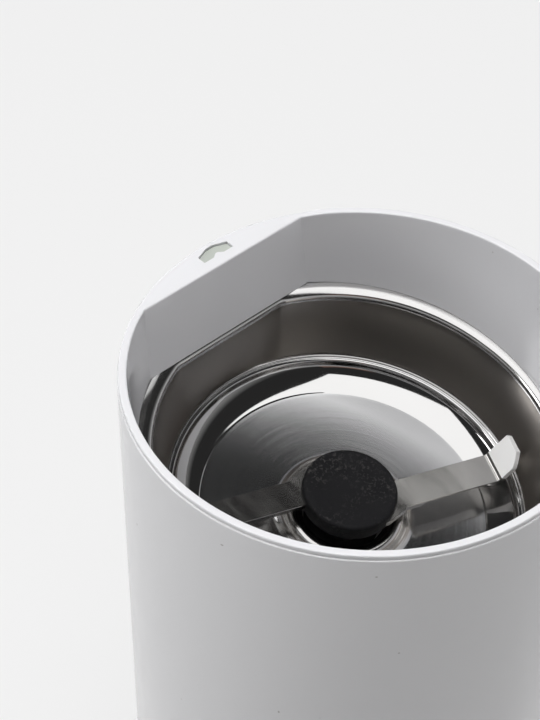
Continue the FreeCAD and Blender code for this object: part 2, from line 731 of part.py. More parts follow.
def blade_arm():
    # one arm lies on one side of the centre line, so the two arms are staggered
    reach = BLADE_BEND
    arm = slab([
        (0, 0, 0),
        (reach, 0, 0),
        (reach, -BLADE_WIDTH, 0),
        (9.6, -BLADE_WIDTH, -1.6),
        (5.4, -8.4, -0.8),
        (0, -8.4, 0),
    ], BLADE_TOP - BLADE_THICKNESS, BLADE_TOP)
    # upturned tip: a clipped plate that starts at the bend line
    tip = slab([
        (0, 0, 0),
        (TIP_LENGTH, 0, 0),
        (TIP_LENGTH, -BLADE_WIDTH * 0.68, -0.6),
        (TIP_LENGTH * 0.6, -BLADE_WIDTH, -0.5),
        (0, -BLADE_WIDTH, 0),
    ], -BLADE_THICKNESS, 0)
    tip.rotate(CENTRE, Vector(0, 1, 0), -TIP_ANGLE)
    tip.translate(Vector(reach, 0, BLADE_TOP))
    # the outside of the bend is filled by a wedge with a round back
    bend = Part.makeCylinder(BLADE_THICKNESS, BLADE_WIDTH, Vector(reach, 0, BLADE_TOP), Vector(0, -1, 0))
    bend = bend.common(block(reach - 0.001, reach + 2, -BLADE_WIDTH, 0, BLADE_TOP - 2, BLADE_TOP + 0.001))
    lean = Part.makeBox(4, BLADE_WIDTH, 4, Vector(reach, -BLADE_WIDTH, BLADE_TOP - 4))
    lean.rotate(Vector(reach, 0, BLADE_TOP), Vector(0, 1, 0), -TIP_ANGLE)
    bend = bend.cut(lean)
    arm = join([arm, tip, bend])
    # ground edge under the leading side
    grind = Part.makeBox(reach - 14.5, 3.0, 3.0, Vector(13.0, 0, 0))
    grind.rotate(CENTRE, Vector(1, 0, 0), 38)
    grind.translate(Vector(0, -BLADE_WIDTH + 0.0, BLADE_TOP - BLADE_THICKNESS * 0.35))
    grind.translate(Vector(0, -3.0 * math.cos(math.radians(38)), -3.0 * math.sin(math.radians(38))))
    return arm.cut(grind)


def make_cutting_blade():
    arm = blade_arm()
    other = arm.copy()
    other.rotate(CENTRE, UP, 180)
    plate = join([arm, other, rod(8.0, BLADE_TOP - BLADE_THICKNESS, BLADE_TOP)])
    plate = plate.cut(rod(SHAFT_RADIUS, -60, -30))
    plate.rotate(CENTRE, UP, BLADE_AZIMUTH)
    return plate


def make_blade_hub(blade):
    hub = turned([
        (0, HUB_TOP, 0),
        (HUB_RADIUS - 1.3, HUB_TOP, 0),
        (HUB_RADIUS - 0.35, HUB_TOP - 0.35, 0),
        (HUB_RADIUS, HUB_TOP - 1.3, 0),
        (HUB_RADIUS, HUB_BOTTOM, -0.6),
        (SLEEVE_RADIUS, HUB_BOTTOM, 0),
        (SLEEVE_RADIUS, SLEEVE_BOTTOM, 0),
        (SHAFT_RADIUS, SLEEVE_BOTTOM, 0),
        (SHAFT_RADIUS, SHAFT_TOP, 0),
        (0, SHAFT_TOP, 0),
    ])
    return hub.cut(blade)


def make_rotor_shaft():
    return turned([
        (0, SHAFT_TOP, 0),
        (SHAFT_RADIUS, SHAFT_TOP, 0),
        (SHAFT_RADIUS, SHAFT_BOTTOM, -0.4),
        (0, SHAFT_BOTTOM, 0),
    ])


def make_rotor_core():
    # laminated core with twelve winding slots
    core = tube(ROTOR_RADIUS, SHAFT_RADIUS, STATOR_BOTTOM, STATOR_TOP)
    slot = slab([
        (7.8, -0.9, 0),
        (10.8, -1.5, 0),
        (11.4, -0.4, 0),
        (14.0, -0.4, 0),
        (14.0, 0.4, 0),
        (11.4, 0.4, 0),
        (10.8, 1.5, 0),
        (7.8, 0.9, 0),
    ], STATOR_BOTTOM - 1, STATOR_TOP + 1)
    return core.cut(around(slot, 12))


def make_rotor_winding():
    # enamelled wire in the slots and over both ends of the core
    ends = []
    for near, far in ((STATOR_TOP, STATOR_TOP + 5.4), (STATOR_BOTTOM, STATOR_BOTTOM - 5.4)):
        ends.append(sleeve(12, 11.4, SHAFT_RADIUS, min(near, far), max(near, far)))
    outline = [(7.9, -0.8), (10.7, -1.4), (10.7, 1.4), (7.9, 0.8)]
    fill = slab(plain(outline), STATOR_BOTTOM - 0.5, STATOR_TOP + 0.5)
    return join(ends + around(fill, 12))


def make_commutator():
    drum = tube(COMMUTATOR_RADIUS, SHAFT_RADIUS, COMMUTATOR_BOTTOM, COMMUTATOR_TOP)
    groove = block(5.4, 9.0, -0.2, 0.2, COMMUTATOR_BOTTOM - 1, COMMUTATOR_TOP + 2)
    return drum.cut(around(groove, 12, 15))


def make_cooling_fan():
    # disc with slanting blades that blow outwards
    low = FAN_TOP - 1.2
    disc = join([rod(FAN_RADIUS - 2.4, low, FAN_TOP), peg(8, 6.0, low - 2.6, FAN_TOP - 0.2)])
    outline = [(7.0, 0), (12.0, 2.6), (16.6, 7.0), (15.4, 7.6), (11.4, 3.6), (7.0, 1.2)]
    vane = slab(plain(outline), low - 4.2, low + 0.2)
    fan = join([disc] + around(vane, 9))
    return fan.cut(rod(SHAFT_RADIUS, -70, -50))


def make_thrust_washers():
    heights = ((-50.5, -49.95), (-56.2, -55.7), (-105.6, -105.0))
    return Part.makeCompound([sleeve(12, 4.2, SHAFT_RADIUS, low, high) for low, high in heights])


# Interlock rod, spring and switch

def make_interlock_rod():
    # a chevron-shaped button in the slot, a flat strip behind the flat wall, and a toe over the switch
    half = ROD_WIDTH / 2
    front = ROD_BACK_Y - ROD_THICKNESS
    shoulder = rim_z(DECK_DROP + DECK_THICKNESS + ROD_FIT)
    button = outline_xy(slot_outline(), shoulder - 0.5).makeOffset2D(-ROD_FIT)
    button = button.extrude(Vector(0, 0, rim_z(DECK_DROP + BUTTON_DROP) - shoulder + 0.5))
    neck = slab([
        (SLOT_X - SLOT_HALF + ROD_FIT, front, 0),
        (SLOT_X + SLOT_HALF - ROD_FIT, front, 0),
        (SLOT_X + SLOT_HALF - ROD_FIT, ROD_BACK_Y, 0),
        (SLOT_X - SLOT_HALF + ROD_FIT, ROD_BACK_Y, 0),
    ], shoulder - 3.0, shoulder).common(rod(42.3, shoulder - 4.0, shoulder))
    strip = slab([
        (-half, front, 0),
        (half, front, 0),
        (half, ROD_BACK_Y, -0.3),
        (-half, ROD_BACK_Y, -0.3),
    ], TOE_BOTTOM, shoulder)
    contact_x = LEVER_HINGE_X + LEVER_ARM
    toe = block(-half, contact_x + 1.1, SWITCH_Y - 1.2, ROD_BACK_Y, TOE_BOTTOM + 1.2, TOE_BOTTOM + 3.2)
    toe = toe.cut(block(half, 7, SWITCH_Y + 2.8, 50, TOE_BOTTOM - 1, TOE_BOTTOM + 4))
    nose = level_peg(8, 1.1, 0, 2.4, Vector(contact_x, SWITCH_Y - 1.2, TOE_BOTTOM + 1.1))
    pin = peg(6, 0.7, TOE_BOTTOM - 3.0, TOE_BOTTOM + 1.2, Vector(0, ROD_BACK_Y - 1.35, 0))
    button = button.common(rod(43.4, shoulder - 1, rim_z(-1)))
    under = button.common(rod(60, shoulder - 1, shoulder))
    button = button.cut(under.cut(rod(42.3, shoulder - 1, shoulder)))
    return join([button, neck, strip, toe, nose, pin])


def make_return_spring():
    # an open coil from the shelf to the underside of the rod, in thirds of a turn
    low = SPRING_SHELF_Z + SPRING_WIRE / 2 + 0.05
    high = TOE_BOTTOM - SPRING_WIRE / 2 - 0.05
    steps = SPRING_TURNS * 3
    rise = (high - low) / steps
    edges = []
    for step in range(steps):
        begin = polar(SPRING_RADIUS, step * 120, low + step * rise)
        middle = polar(SPRING_RADIUS, step * 120 + 60, low + (step + 0.5) * rise)
        end = polar(SPRING_RADIUS, step * 120 + 120, low + (step + 1) * rise)
        edges.append(Part.Arc(begin, middle, end).toShape())
    path = Part.Wire(edges)
    start = edges[0]
    across = start.tangentAt(start.FirstParameter).cross(UP).normalize() * (SPRING_WIRE / 2)
    along = UP * (SPRING_WIRE / 2)
    here = start.valueAt(start.FirstParameter)
    section = Part.makePolygon([here + across, here + along, here - across, here - along, here + across])
    coil = path.makePipeShell([section], True, False)
    print("return spring: least gap between turns %.2f mm" % (3 * rise - SPRING_WIRE))
    coil.translate(Vector(0, ROD_BACK_Y - 1.35, 0))
    return coil


def make_switch_body():
    length, depth, height = SWITCH_SIZE
    low = SWITCH_TOP - height
    body = block(-length / 2, length / 2, SWITCH_Y - depth / 2, SWITCH_Y + depth / 2, low, SWITCH_TOP)
    well = block(-3.2, -0.8, SWITCH_Y - 1.5, SWITCH_Y + 1.5, SWITCH_TOP - 3.2, SWITCH_TOP + 1)
    body = body.cut(well)
    for x in (-4.8, 4.8):
        body = body.cut(level_peg(8, 1.2, 0, 20, Vector(x, 30, low + 2.4)))
    ears = []
    for y in (SWITCH_Y - 2.2, SWITCH_Y + 1.5):
        ear = block(LEVER_HINGE_X - 1.3, LEVER_HINGE_X + 1.3, y, y + 0.7, SWITCH_TOP, PIN_Z + 1.3)
        ears.append(ear.cut(level_peg(8, PIN_RADIUS + 0.05, 0, 3, Vector(LEVER_HINGE_X, y - 1, PIN_Z))))
    terminals = []
    for x in (-7.5, 0.0, 7.5):
        terminals.append(block(x - 1.2, x + 1.2, SWITCH_Y - 0.3, SWITCH_Y + 0.3, low - 4.5, low))
    return join([body] + ears + terminals)


def make_switch_lever():
    # a spring-steel leaf on a pin. It slopes up towards its free end while the rod is up
    pin = Part.makeCylinder(PIN_RADIUS, 4.4, Vector(LEVER_HINGE_X, SWITCH_Y - 2.2, PIN_Z), Vector(0, 1, 0))
    right = LEVER_HINGE_X + LEVER_ARM + 1.2
    leaf = block(LEVER_HINGE_X - 0.4, right, SWITCH_Y - 1.25, SWITCH_Y + 1.25, PIN_Z - 0.2, PIN_Z + 0.2)
    leaf.rotate(Vector(LEVER_HINGE_X, SWITCH_Y, PIN_Z), Vector(0, 1, 0), -LEVER_ANGLE)
    return join([leaf, pin])


def make_switch_plunger():
    top = PIN_Z + 6.0 * math.tan(math.radians(LEVER_ANGLE)) - 0.5
    return block(-3.1, -0.9, SWITCH_Y - 1.4, SWITCH_Y + 1.4, top - 3.0, top)


def make_switch_bracket():
    low = SWITCH_TOP - SWITCH_SIZE[2]
    front = SWITCH_Y - SWITCH_SIZE[1] / 2
    plate = block(-18.2, 18.2, front - 1.6, front - 0.01, low + 0.5, low + 8.5)
    pieces = [plate]
    for x in (-4.8, 4.8):
        pieces.append(level_peg(8, 1.1, 0, 5.6, Vector(x, front - 0.2, low + 2.4), False))
    for x in (-SWITCH_STUD_X, SWITCH_STUD_X):
        pieces.append(level_peg(8, 2.6, 0, 1.61, Vector(x, front - 0.01, SWITCH_TOP - 5), False))
    bracket = join(pieces)
    for x in (-SWITCH_STUD_X, SWITCH_STUD_X):
        bracket = bracket.cut(level_peg(6, 1.1, 0, 20, Vector(x, 25, SWITCH_TOP - 5)))
    return bracket


def make_switch_screws():
    screws = []
    front = SWITCH_Y - SWITCH_SIZE[1] / 2 - 1.6
    for x in (-SWITCH_STUD_X, SWITCH_STUD_X):
        fixing = screw(2.1, 1.3, 0.9, 7.0, 0, CENTRE)
        fixing.rotate(CENTRE, Vector(1, 0, 0), 90)
        fixing.translate(Vector(x, front - 1.3, SWITCH_TOP - 5))
        screws.append(fixing)
    return Part.makeCompound(screws)


# Base and electrical pieces

def make_base_plate():
    radius = HOUSING_BORE - 0.2
    plate = turned(plain([
        (0, BASE_BOTTOM),
        (radius, BASE_BOTTOM),
        (radius, BASE_TOP),
        (radius - 1.6, BASE_TOP),
        (radius - 1.6, BASE_BOTTOM + 1.6),
        (0, BASE_BOTTOM + 1.6),
    ]))
    pads = []
    for azimuth in BASE_SCREW_AZIMUTHS:
        pads.append(peg(8, 4.4, BASE_BOTTOM + 1.0, BASE_TOP, polar(BASE_SCREW_RADIUS, azimuth)))
    plate = join([plate] + pads)
    # parallel cooling slots that fill a circle
    cutters = []
    for row in range(-3, 4):
        y = row * 5.6
        half = math.sqrt(23.0 ** 2 - y ** 2)
        cutters.append(block(-half, half, y - 1.1, y + 1.1, BASE_BOTTOM - 1, BASE_TOP))
    plate = plate.cut(cutters)
    spine = block(-1.2, 1.2, -22, 22, BASE_BOTTOM, BASE_BOTTOM + 1.6)
    plate = join([plate, spine])
    for azimuth in BASE_SCREW_AZIMUTHS:
        spot = polar(BASE_SCREW_RADIUS, azimuth)
        plate = plate.cut(peg(6, 1.3, 0, 10, spot, True))
        plate = plate.cut(peg(8, 3.1, 0, BASE_BOTTOM + 1.4, spot, True))
    for azimuth in (45, 135, 225, 315):
        plate = plate.cut(peg(6, 2.0, 0, 10, polar(FOOT_RING, azimuth), True))
    return plate


def make_base_screws():
    screws = []
    top = BASE_BOTTOM + 1.4
    for azimuth in BASE_SCREW_AZIMUTHS:
        spot = polar(BASE_SCREW_RADIUS, azimuth)
        head = peg(8, 2.7, top - 1.2, top, spot).fuse(peg(6, 1.2, top, top + 9.0, spot))
        for size in ((1.6, 0.3), (0.3, 1.6)):
            cross = block(-size[0], size[0], -size[1], size[1], top - 2, top - 0.6)
            cross.translate(spot)
            head = head.cut(cross)
        screws.append(head)
    return Part.makeCompound(screws)


def make_rubber_feet():
    foot = join([
        peg(20, FOOT_RADIUS, 0, BASE_BOTTOM),
        peg(6, 2.0, BASE_BOTTOM, BASE_BOTTOM + 3.6),
    ])
    foot.translate(Vector(FOOT_RING, 0, 0))
    return Part.makeCompound(around(foot, 4, 45))


def make_cord_gland():
    # rubber bush in the cord hole at the lower back
    gland = turned([
        (CORD_HOLE, -4.2, 0),
        (3.95, -4.2, 0),
        (3.95, 0.0, 0),
        (5.4, 0.0, 0),
        (5.4, 1.05, -0.5),
        (CORD_HOLE, 1.05, 0),
    ])
    gland.rotate(CENTRE, Vector(1, 0, 0), -90)
    gland.translate(Vector(0, housing_radius(GLAND_Z + 6.0), GLAND_Z))
    return gland


def make_cord_clamp():
    bar = block(-9.5, 9.5, 26.0, 31.0, 8.4, 11.0)
    bar = bar.cut(level_peg(8, 3.0, 0, 20, Vector(0, 20, 7.0)))
    for x in (-7.0, 7.0):
        bar = bar.cut(peg(6, 1.1, 0, 20, Vector(x, 28.5, 0), True))
    return bar


def make_clamp_posts():
    posts = []
    for x in (-7.0, 7.0):
        posts.append(sleeve(6, 2.8, 1.0, BASE_BOTTOM + 1.4, 8.4, Vector(x, 28.5, 0)))
    return posts


def make_clamp_screws():
    screws = []
    for x in (-7.0, 7.0):
        screws.append(screw(2.0, 1.2, 1.0, 6.0, 12.2, Vector(x, 28.5, 0)))
    return Part.makeCompound(screws)


def make_terminal_block():
    low = BASE_BOTTOM + 1.6
    body = block(-31, -13, -9, 1, low, low + 7.5)
    for x in (-28.0, -22.0, -16.0):
        body = body.cut(peg(6, 1.6, low + 4, low + 9, Vector(x, -4, 0), True))
    return body


def make_capacitor():
    low = BASE_BOTTOM + 1.6
    corners = [(26.5, -9.0, -0.8), (35.0, -9.0, -0.8), (35.0, 8.0, -0.8), (26.5, 8.0, -0.8)]
    return slab(corners, low, low + 11.0)


# Build and export every piece

def main():
    blade = make_cutting_blade()
    base_plate = join([make_base_plate()] + make_clamp_posts())
    nodes = {
        "outer_housing": make_outer_housing(),
        "top_collar": make_top_collar(),
        "grinding_bowl": make_grinding_bowl(),
        "bowl_gasket": make_bowl_gasket(),
        "inner_chassis": make_inner_chassis(),
        "chassis_screws": make_chassis_screws(),
        "shaft_seal": make_shaft_seal(),
        "motor_grommets": make_motor_grommets(),
        "motor_screws": make_motor_screws(),
        "upper_bracket": make_upper_bracket(),
        "lower_bracket": make_lower_bracket(),
        "bracket_bolts": make_bracket_bolts(),
        "upper_bearing": make_bearing(-55.0, -51.0),
        "lower_bearing": make_bearing(-110.9, -106.9),
        "bearing_retainers": make_bearing_retainers(),
        "stator_core": make_stator_core(),
        "field_coils": make_field_coils(),
        "brush_holders": make_brush_holders(),
        "carbon_brushes": make_carbon_brushes(),
        "brush_springs": make_brush_springs(),
        "cutting_blade": place_tilted(blade),
        "blade_hub": place_tilted(make_blade_hub(blade)),
        "rotor_shaft": place_tilted(make_rotor_shaft()),
        "thrust_washers": place_tilted(make_thrust_washers()),
        "rotor_core": place_tilted(make_rotor_core()),
        "rotor_winding": place_tilted(make_rotor_winding()),
        "commutator": place_tilted(make_commutator()),
        "cooling_fan": place_tilted(make_cooling_fan()),
        "interlock_rod": make_interlock_rod(),
        "return_spring": make_return_spring(),
        "switch_body": make_switch_body(),
        "switch_lever": make_switch_lever(),
        "switch_plunger": make_switch_plunger(),
        "switch_bracket": make_switch_bracket(),
        "switch_screws": make_switch_screws(),
        "base_plate": base_plate,
        "base_screws": make_base_screws(),
        "rubber_feet": make_rubber_feet(),
        "cord_gland": make_cord_gland(),
        "cord_clamp": make_cord_clamp(),
        "clamp_screws": make_clamp_screws(),
        "terminal_block": make_terminal_block(),
        "suppression_capacitor": make_capacitor(),
    }
    os.makedirs("parts", exist_ok=True)
    for name, shape in nodes.items():
        shape.exportStep(os.path.join("parts", name + ".step"))
        box = shape.BoundBox
        state = "valid" if shape.isValid() else "NOT VALID"
        print("%-22s %s solids %d volume %.0f z %.1f to %.1f"
              % (name, state, len(shape.Solids), shape.Volume, box.ZMin, box.ZMax))


main()
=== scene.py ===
import bmesh
import bpy
import json
import math
import numpy as np
from mathutils import Matrix, Quaternion, Vector


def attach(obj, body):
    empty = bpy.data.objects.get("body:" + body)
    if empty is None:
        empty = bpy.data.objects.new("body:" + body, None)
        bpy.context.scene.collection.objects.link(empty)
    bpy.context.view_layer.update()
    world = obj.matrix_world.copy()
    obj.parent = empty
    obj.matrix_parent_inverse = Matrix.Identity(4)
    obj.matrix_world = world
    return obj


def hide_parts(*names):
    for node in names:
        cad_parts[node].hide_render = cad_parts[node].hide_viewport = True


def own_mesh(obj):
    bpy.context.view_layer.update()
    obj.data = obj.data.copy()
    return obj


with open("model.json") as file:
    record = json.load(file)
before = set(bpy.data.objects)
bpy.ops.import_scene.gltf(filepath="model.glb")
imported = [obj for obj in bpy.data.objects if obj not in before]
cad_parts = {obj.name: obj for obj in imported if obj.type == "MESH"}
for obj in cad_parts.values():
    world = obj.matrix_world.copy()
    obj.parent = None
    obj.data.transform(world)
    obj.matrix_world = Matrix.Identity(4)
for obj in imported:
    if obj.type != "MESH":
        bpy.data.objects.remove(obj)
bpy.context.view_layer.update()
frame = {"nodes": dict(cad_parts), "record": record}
nodes = frame["nodes"]
mm = 0.001
rimHeight = 130.0
print("frame loaded,", len(nodes), "nodes")

# the photograph is taken from the front left and above; focal and centre are in its pixels
view = {"turn": -47.3, "elevation": 44.56, "roll": 3.96, "distance": 382.0, "rim": rimHeight,
        "focal": 2106.0, "centre": (365.2, 367.2), "frame": (540, 720)}


def toPart(x, y, z=0.0):
    # photo-side coordinates (x right, y away from the camera) turned to the part's own
    a = math.radians(view["turn"])
    return (x * math.cos(a) - y * math.sin(a), x * math.sin(a) + y * math.cos(a), z)


def placeCamera():
    e, roll = math.radians(view["elevation"]), math.radians(view["roll"])
    eye = np.array([0, -math.cos(e), math.sin(e)]) * view["distance"]
    forward = -eye / np.linalg.norm(eye)
    right = np.array([1.0, 0, 0])
    up = np.cross(right, forward)
    rolled = np.stack([math.cos(roll) * right + math.sin(roll) * up,
                       -math.sin(roll) * right + math.cos(roll) * up, forward])
    # a small turn puts the rim's centre on its pixel
    width, height = view["frame"]
    aim = np.array([(view["centre"][0] - width / 2) / view["focal"],
                    -(view["centre"][1] - height / 2) / view["focal"], 1.0])
    aim /= np.linalg.norm(aim)
    v = np.cross([0, 0, 1.0], aim)
    k = np.array([[0, -v[2], v[1]], [v[2], 0, -v[0]], [-v[1], v[0], 0]])
    axes = (np.eye(3) + k + k @ k / (1 + aim[2])) @ rolled
    data = bpy.data.cameras.new("photoCamera")
    data.lens = view["focal"] / height * 36.0
    data.sensor_width = 36.0
    data.clip_start, data.clip_end = 0.01, 20
    cam = bpy.data.objects.new("photoCamera", data)
    bpy.context.scene.collection.objects.link(cam)
    world = Matrix.Identity(4)
    columns = [toPart(*axes[0]), toPart(*axes[1]), [-c for c in toPart(*axes[2])]]
    for c, column in enumerate(columns):
        for r in range(3):
            world[r][c] = column[r]
    spot = toPart(eye[0], eye[1], eye[2] + view["rim"])
    for r in range(3):
        world[r][3] = spot[r] * mm
    cam.matrix_world = world
    bpy.context.scene.camera = cam


placeCamera()
print("camera placed")


def gridFaces(rows, columns, wrapRows, start=0):
    # quads between neighbours of a grid whose columns always close on themselves
    i = np.arange(rows if wrapRows else rows - 1)[:, None]
    j = np.arange(columns)[None, :]
    i2, j2 = (i + 1) % rows, (j + 1) % columns
    quads = np.stack([i * columns + j, i * columns + j2, i2 * columns + j2, i2 * columns + j], -1)
    return quads.reshape(-1, 4) + start


def joined(parts):
    # several (points, faces) pairs as one
    points, faces, start = [], [], 0
    for p, f in parts:
        points.append(p)
        faces += [[n + start for n in face] for face in (f.tolist() if hasattr(f, "tolist") else f)]
        start += len(p)
    return np.concatenate(points), faces


def turnedRing(profile, steps=256):
    # closed ring: every point (r, z) of a closed outline is carried round the upright axis
    profile = np.asarray(profile, float)
    a = np.linspace(0, 2 * np.pi, steps, endpoint=False)
    r, z = profile[:, 0][:, None], profile[:, 1][:, None]
    grid = np.stack([r * np.cos(a), r * np.sin(a), z + 0 * a], -1)
    return grid.reshape(-1, 3), gridFaces(len(profile), steps, True)


def turnedSolid(profile, steps=128):
    # solid of revolution: the outline starts and ends on the axis, where fans close it
    profile = np.asarray(profile, float)
    a = np.linspace(0, 2 * np.pi, steps, endpoint=False)
    inner = profile[1:-1]
    r, z = inner[:, 0][:, None], inner[:, 1][:, None]
    grid = np.stack([r * np.cos(a), r * np.sin(a), z + 0 * a], -1).reshape(-1, 3)
    ends = np.array([[0, 0, profile[0, 1]], [0, 0, profile[-1, 1]]])
    last = len(grid)
    j = np.arange(steps)
    j2 = (j + 1) % steps
    top = np.stack([np.full(steps, last), j2, j], -1)
    low = (len(inner) - 1) * steps
    bottom = np.stack([np.full(steps, last + 1), low + j, low + j2], -1)
    faces = gridFaces(len(inner), steps, False).tolist() + top.tolist() + bottom.tolist()
    return np.concatenate([grid, ends]), faces


def prism(low, high):
    # straight-sided solid between two outlines with the same number of points
    low, high = np.asarray(low, float), np.asarray(high, float)
    count = len(low)
    faces = gridFaces(2, count, False).tolist()
    faces += [list(range(count))[::-1], list(range(count, 2 * count))]
    return np.concatenate([low, high]), faces


def block(x0, x1, y0, y1, z0, z1):
    # box with its corners in order; z0 and z1 may be functions of x and y, for a leaning end
    flat = np.array([[x0, y0], [x1, y0], [x1, y1], [x0, y1]], float)
    lower = z0(flat) if callable(z0) else np.full(4, z0)
    upper = z1(flat) if callable(z1) else np.full(4, z1)
    return prism(np.column_stack([flat, lower]), np.column_stack([flat, upper]))


def rounded(corners, steps=7):
    # polyline in (r, z) whose corners become arcs; each corner is (r, z, radius)
    path = []
    count = len(corners)
    for n in range(count):
        p = np.array(corners[n][:2], float)
        radius = corners[n][2]
        if radius == 0 or n in (0, count - 1) and corners[0][2] == 0 == corners[-1][2]:
            path.append(p[None])
            continue
        a = np.array(corners[n - 1][:2], float) - p
        b = np.array(corners[(n + 1) % count][:2], float) - p
        a, b = a / np.linalg.norm(a), b / np.linalg.norm(b)
        half = math.acos(np.clip(a @ b, -1, 1)) / 2
        centre = p + (a + b) / np.linalg.norm(a + b) * radius / math.sin(half)
        first, last = p + a * radius / math.tan(half), p + b * radius / math.tan(half)
        u, v = first - centre, last - centre
        t = np.linspace(0, 1, steps)[:, None]
        sweep = math.pi - 2 * half
        arc = (np.sin((1 - t) * sweep) * u + np.sin(t * sweep) * v) / math.sin(sweep)
        path.append(centre + arc)
    return np.concatenate(path)


def turnedBy(points, axis, degrees):
    a = math.radians(degrees)
    c, s = math.cos(a), math.sin(a)
    x, y, z = points[:, 0], points[:, 1], points[:, 2]
    if axis == "z":
        return np.stack([c * x - s * y, s * x + c * y, z], -1)
    return np.stack([x, c * y - s * z, s * y + c * z], -1)


lean = {"degrees": 10.5, "behind": -4.72, "rim": rimHeight}


def leaned(points):
    # from the bowl's own upright frame to the part: leaned forwards and put on the rim's plane
    return turnedBy(np.asarray(points, float), "x", lean["degrees"]) + [0, lean["behind"], lean["rim"]]


def planeHeight(x, y, k):
    # height of the leaning plane k, measured along the bowl's axis, above a point of the plan
    a = math.radians(lean["degrees"])
    return lean["rim"] + (k + math.sin(a) * (y - lean["behind"])) / math.cos(a)


def makeMesh(name, points, faces, sharp=30, uv=None, indices=None):
    mesh = bpy.data.meshes.new(name)
    faces = faces if isinstance(faces, list) else faces.tolist()
    mesh.from_pydata((np.asarray(points) * mm).tolist(), [], faces)
    if uv is not None:
        layer = mesh.uv_layers.new(name="surface")
        layer.data.foreach_set("uv", np.asarray(uv, np.float32).ravel())
    if indices is not None:
        mesh.polygons.foreach_set("material_index", np.asarray(indices, np.int32))
    work = bmesh.new()
    work.from_mesh(mesh)
    bmesh.ops.remove_doubles(work, verts=work.verts, dist=1e-7)
    bmesh.ops.recalc_face_normals(work, faces=work.faces)
    work.to_mesh(mesh)
    work.free()
    mesh.shade_smooth()
    mesh.set_sharp_from_angle(angle=math.radians(sharp))
    mesh.update()
    obj = bpy.data.objects.new(name, mesh)
    bpy.context.scene.collection.objects.link(obj)
    return obj


def cutAway(obj, cutter, sharp=30):
    # takes the cutter's solid out of a piece for good
    tool = makeMesh("cutter", *cutter)
    step = obj.modifiers.new("cut", "BOOLEAN")
    step.operation, step.solver, step.object = "DIFFERENCE", "EXACT", tool
    bpy.context.view_layer.update()
    done = bpy.data.meshes.new_from_object(obj.evaluated_get(bpy.context.evaluated_depsgraph_get()))
    obj.modifiers.clear()
    done.shade_smooth()
    done.set_sharp_from_angle(angle=math.radians(sharp))
    obj.data = done
    bpy.data.objects.remove(tool)


def fit(obj, body, node, slotName, *materials):
    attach(obj, body)
    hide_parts(node)
    for material in materials:
        obj.data.materials.append(material)
    print("  made", obj.name, len(obj.data.polygons), "faces")


def newMaterial(name):
    material = bpy.data.materials.new(name)
    material.use_nodes = True
    tree = material.node_tree
    return material, tree, tree.nodes["Principled BSDF"]


def noise(tree, scale, detail=3.0, stretch=None, source="Object", distortion=0.0):
    coordinates = tree.nodes.new("ShaderNodeTexCoord")
    mapping = tree.nodes.new("ShaderNodeMapping")
    if stretch:
        mapping.inputs["Scale"].default_value = stretch
    node = tree.nodes.new("ShaderNodeTexNoise")
    node.inputs["Scale"].default_value = scale
    node.inputs["Detail"].default_value = detail
    node.inputs["Distortion"].default_value = distortion
    tree.links.new(coordinates.outputs[source], mapping.inputs["Vector"])
    tree.links.new(mapping.outputs["Vector"], node.inputs["Vector"])
    return node.outputs["Fac"]


def spread(tree, factor, low, high, fromLow=0.3, fromHigh=0.7):
    node = tree.nodes.new("ShaderNodeMapRange")
    node.inputs["From Min"].default_value = fromLow
    node.inputs["From Max"].default_value = fromHigh
    node.inputs["To Min"].default_value = low
    node.inputs["To Max"].default_value = high
    tree.links.new(factor, node.inputs["Value"])
    return node.outputs["Result"]


def tint(tree, factor, first, second):
    node = tree.nodes.new("ShaderNodeMix")
    node.data_type = "RGBA"
    node.inputs["A"].default_value = (*first, 1)
    node.inputs["B"].default_value = (*second, 1)
    tree.links.new(factor, node.inputs["Factor"])
    return node.outputs["Result"]


def choose(tree, factor, first, second):
    # the first socket, or the second socket or colour where the factor is 1
    node = tree.nodes.new("ShaderNodeMix")
    node.data_type = "RGBA"
    tree.links.new(first, node.inputs["A"])
    if isinstance(second, tuple):
        node.inputs["B"].default_value = (*second, 1)
    else:
        tree.links.new(second, node.inputs["B"])
    tree.links.new(factor, node.inputs["Factor"])
    return node.outputs["Result"]


def greatest(tree, first, *others):
    for other in others:
        node = tree.nodes.new("ShaderNodeMath")
        node.operation = "MAXIMUM"
        tree.links.new(first, node.inputs[0])
        tree.links.new(other, node.inputs[1])
        first = node.outputs["Value"]
    return first


def bump(tree, shader, factor, distance, strength=1.0):
    node = tree.nodes.new("ShaderNodeBump")
    node.inputs["Distance"].default_value = distance
    node.inputs["Strength"].default_value = strength
    tree.links.new(factor, node.inputs["Height"])
    tree.links.new(node.outputs["Normal"], shader.inputs["Normal"])


def plainFinish(name, colour, other, rough, scale=400.0, metal=0.0, grain=0.00002, detail=3.0,
                stretch=None):
    # moulded, cast or drawn surface: two close colours, uneven gloss and a fine grain
    material, tree, shader = newMaterial(name)
    patches = noise(tree, scale * 0.15, 2.0, stretch)
    fine = noise(tree, scale, detail, stretch)
    tree.links.new(tint(tree, spread(tree, patches, 0, 1), colour, other), shader.inputs["Base Color"])
    tree.links.new(spread(tree, fine, rough[0], rough[1]), shader.inputs["Roughness"])
    shader.inputs["Metallic"].default_value = metal
    bump(tree, shader, fine, grain)
    return material


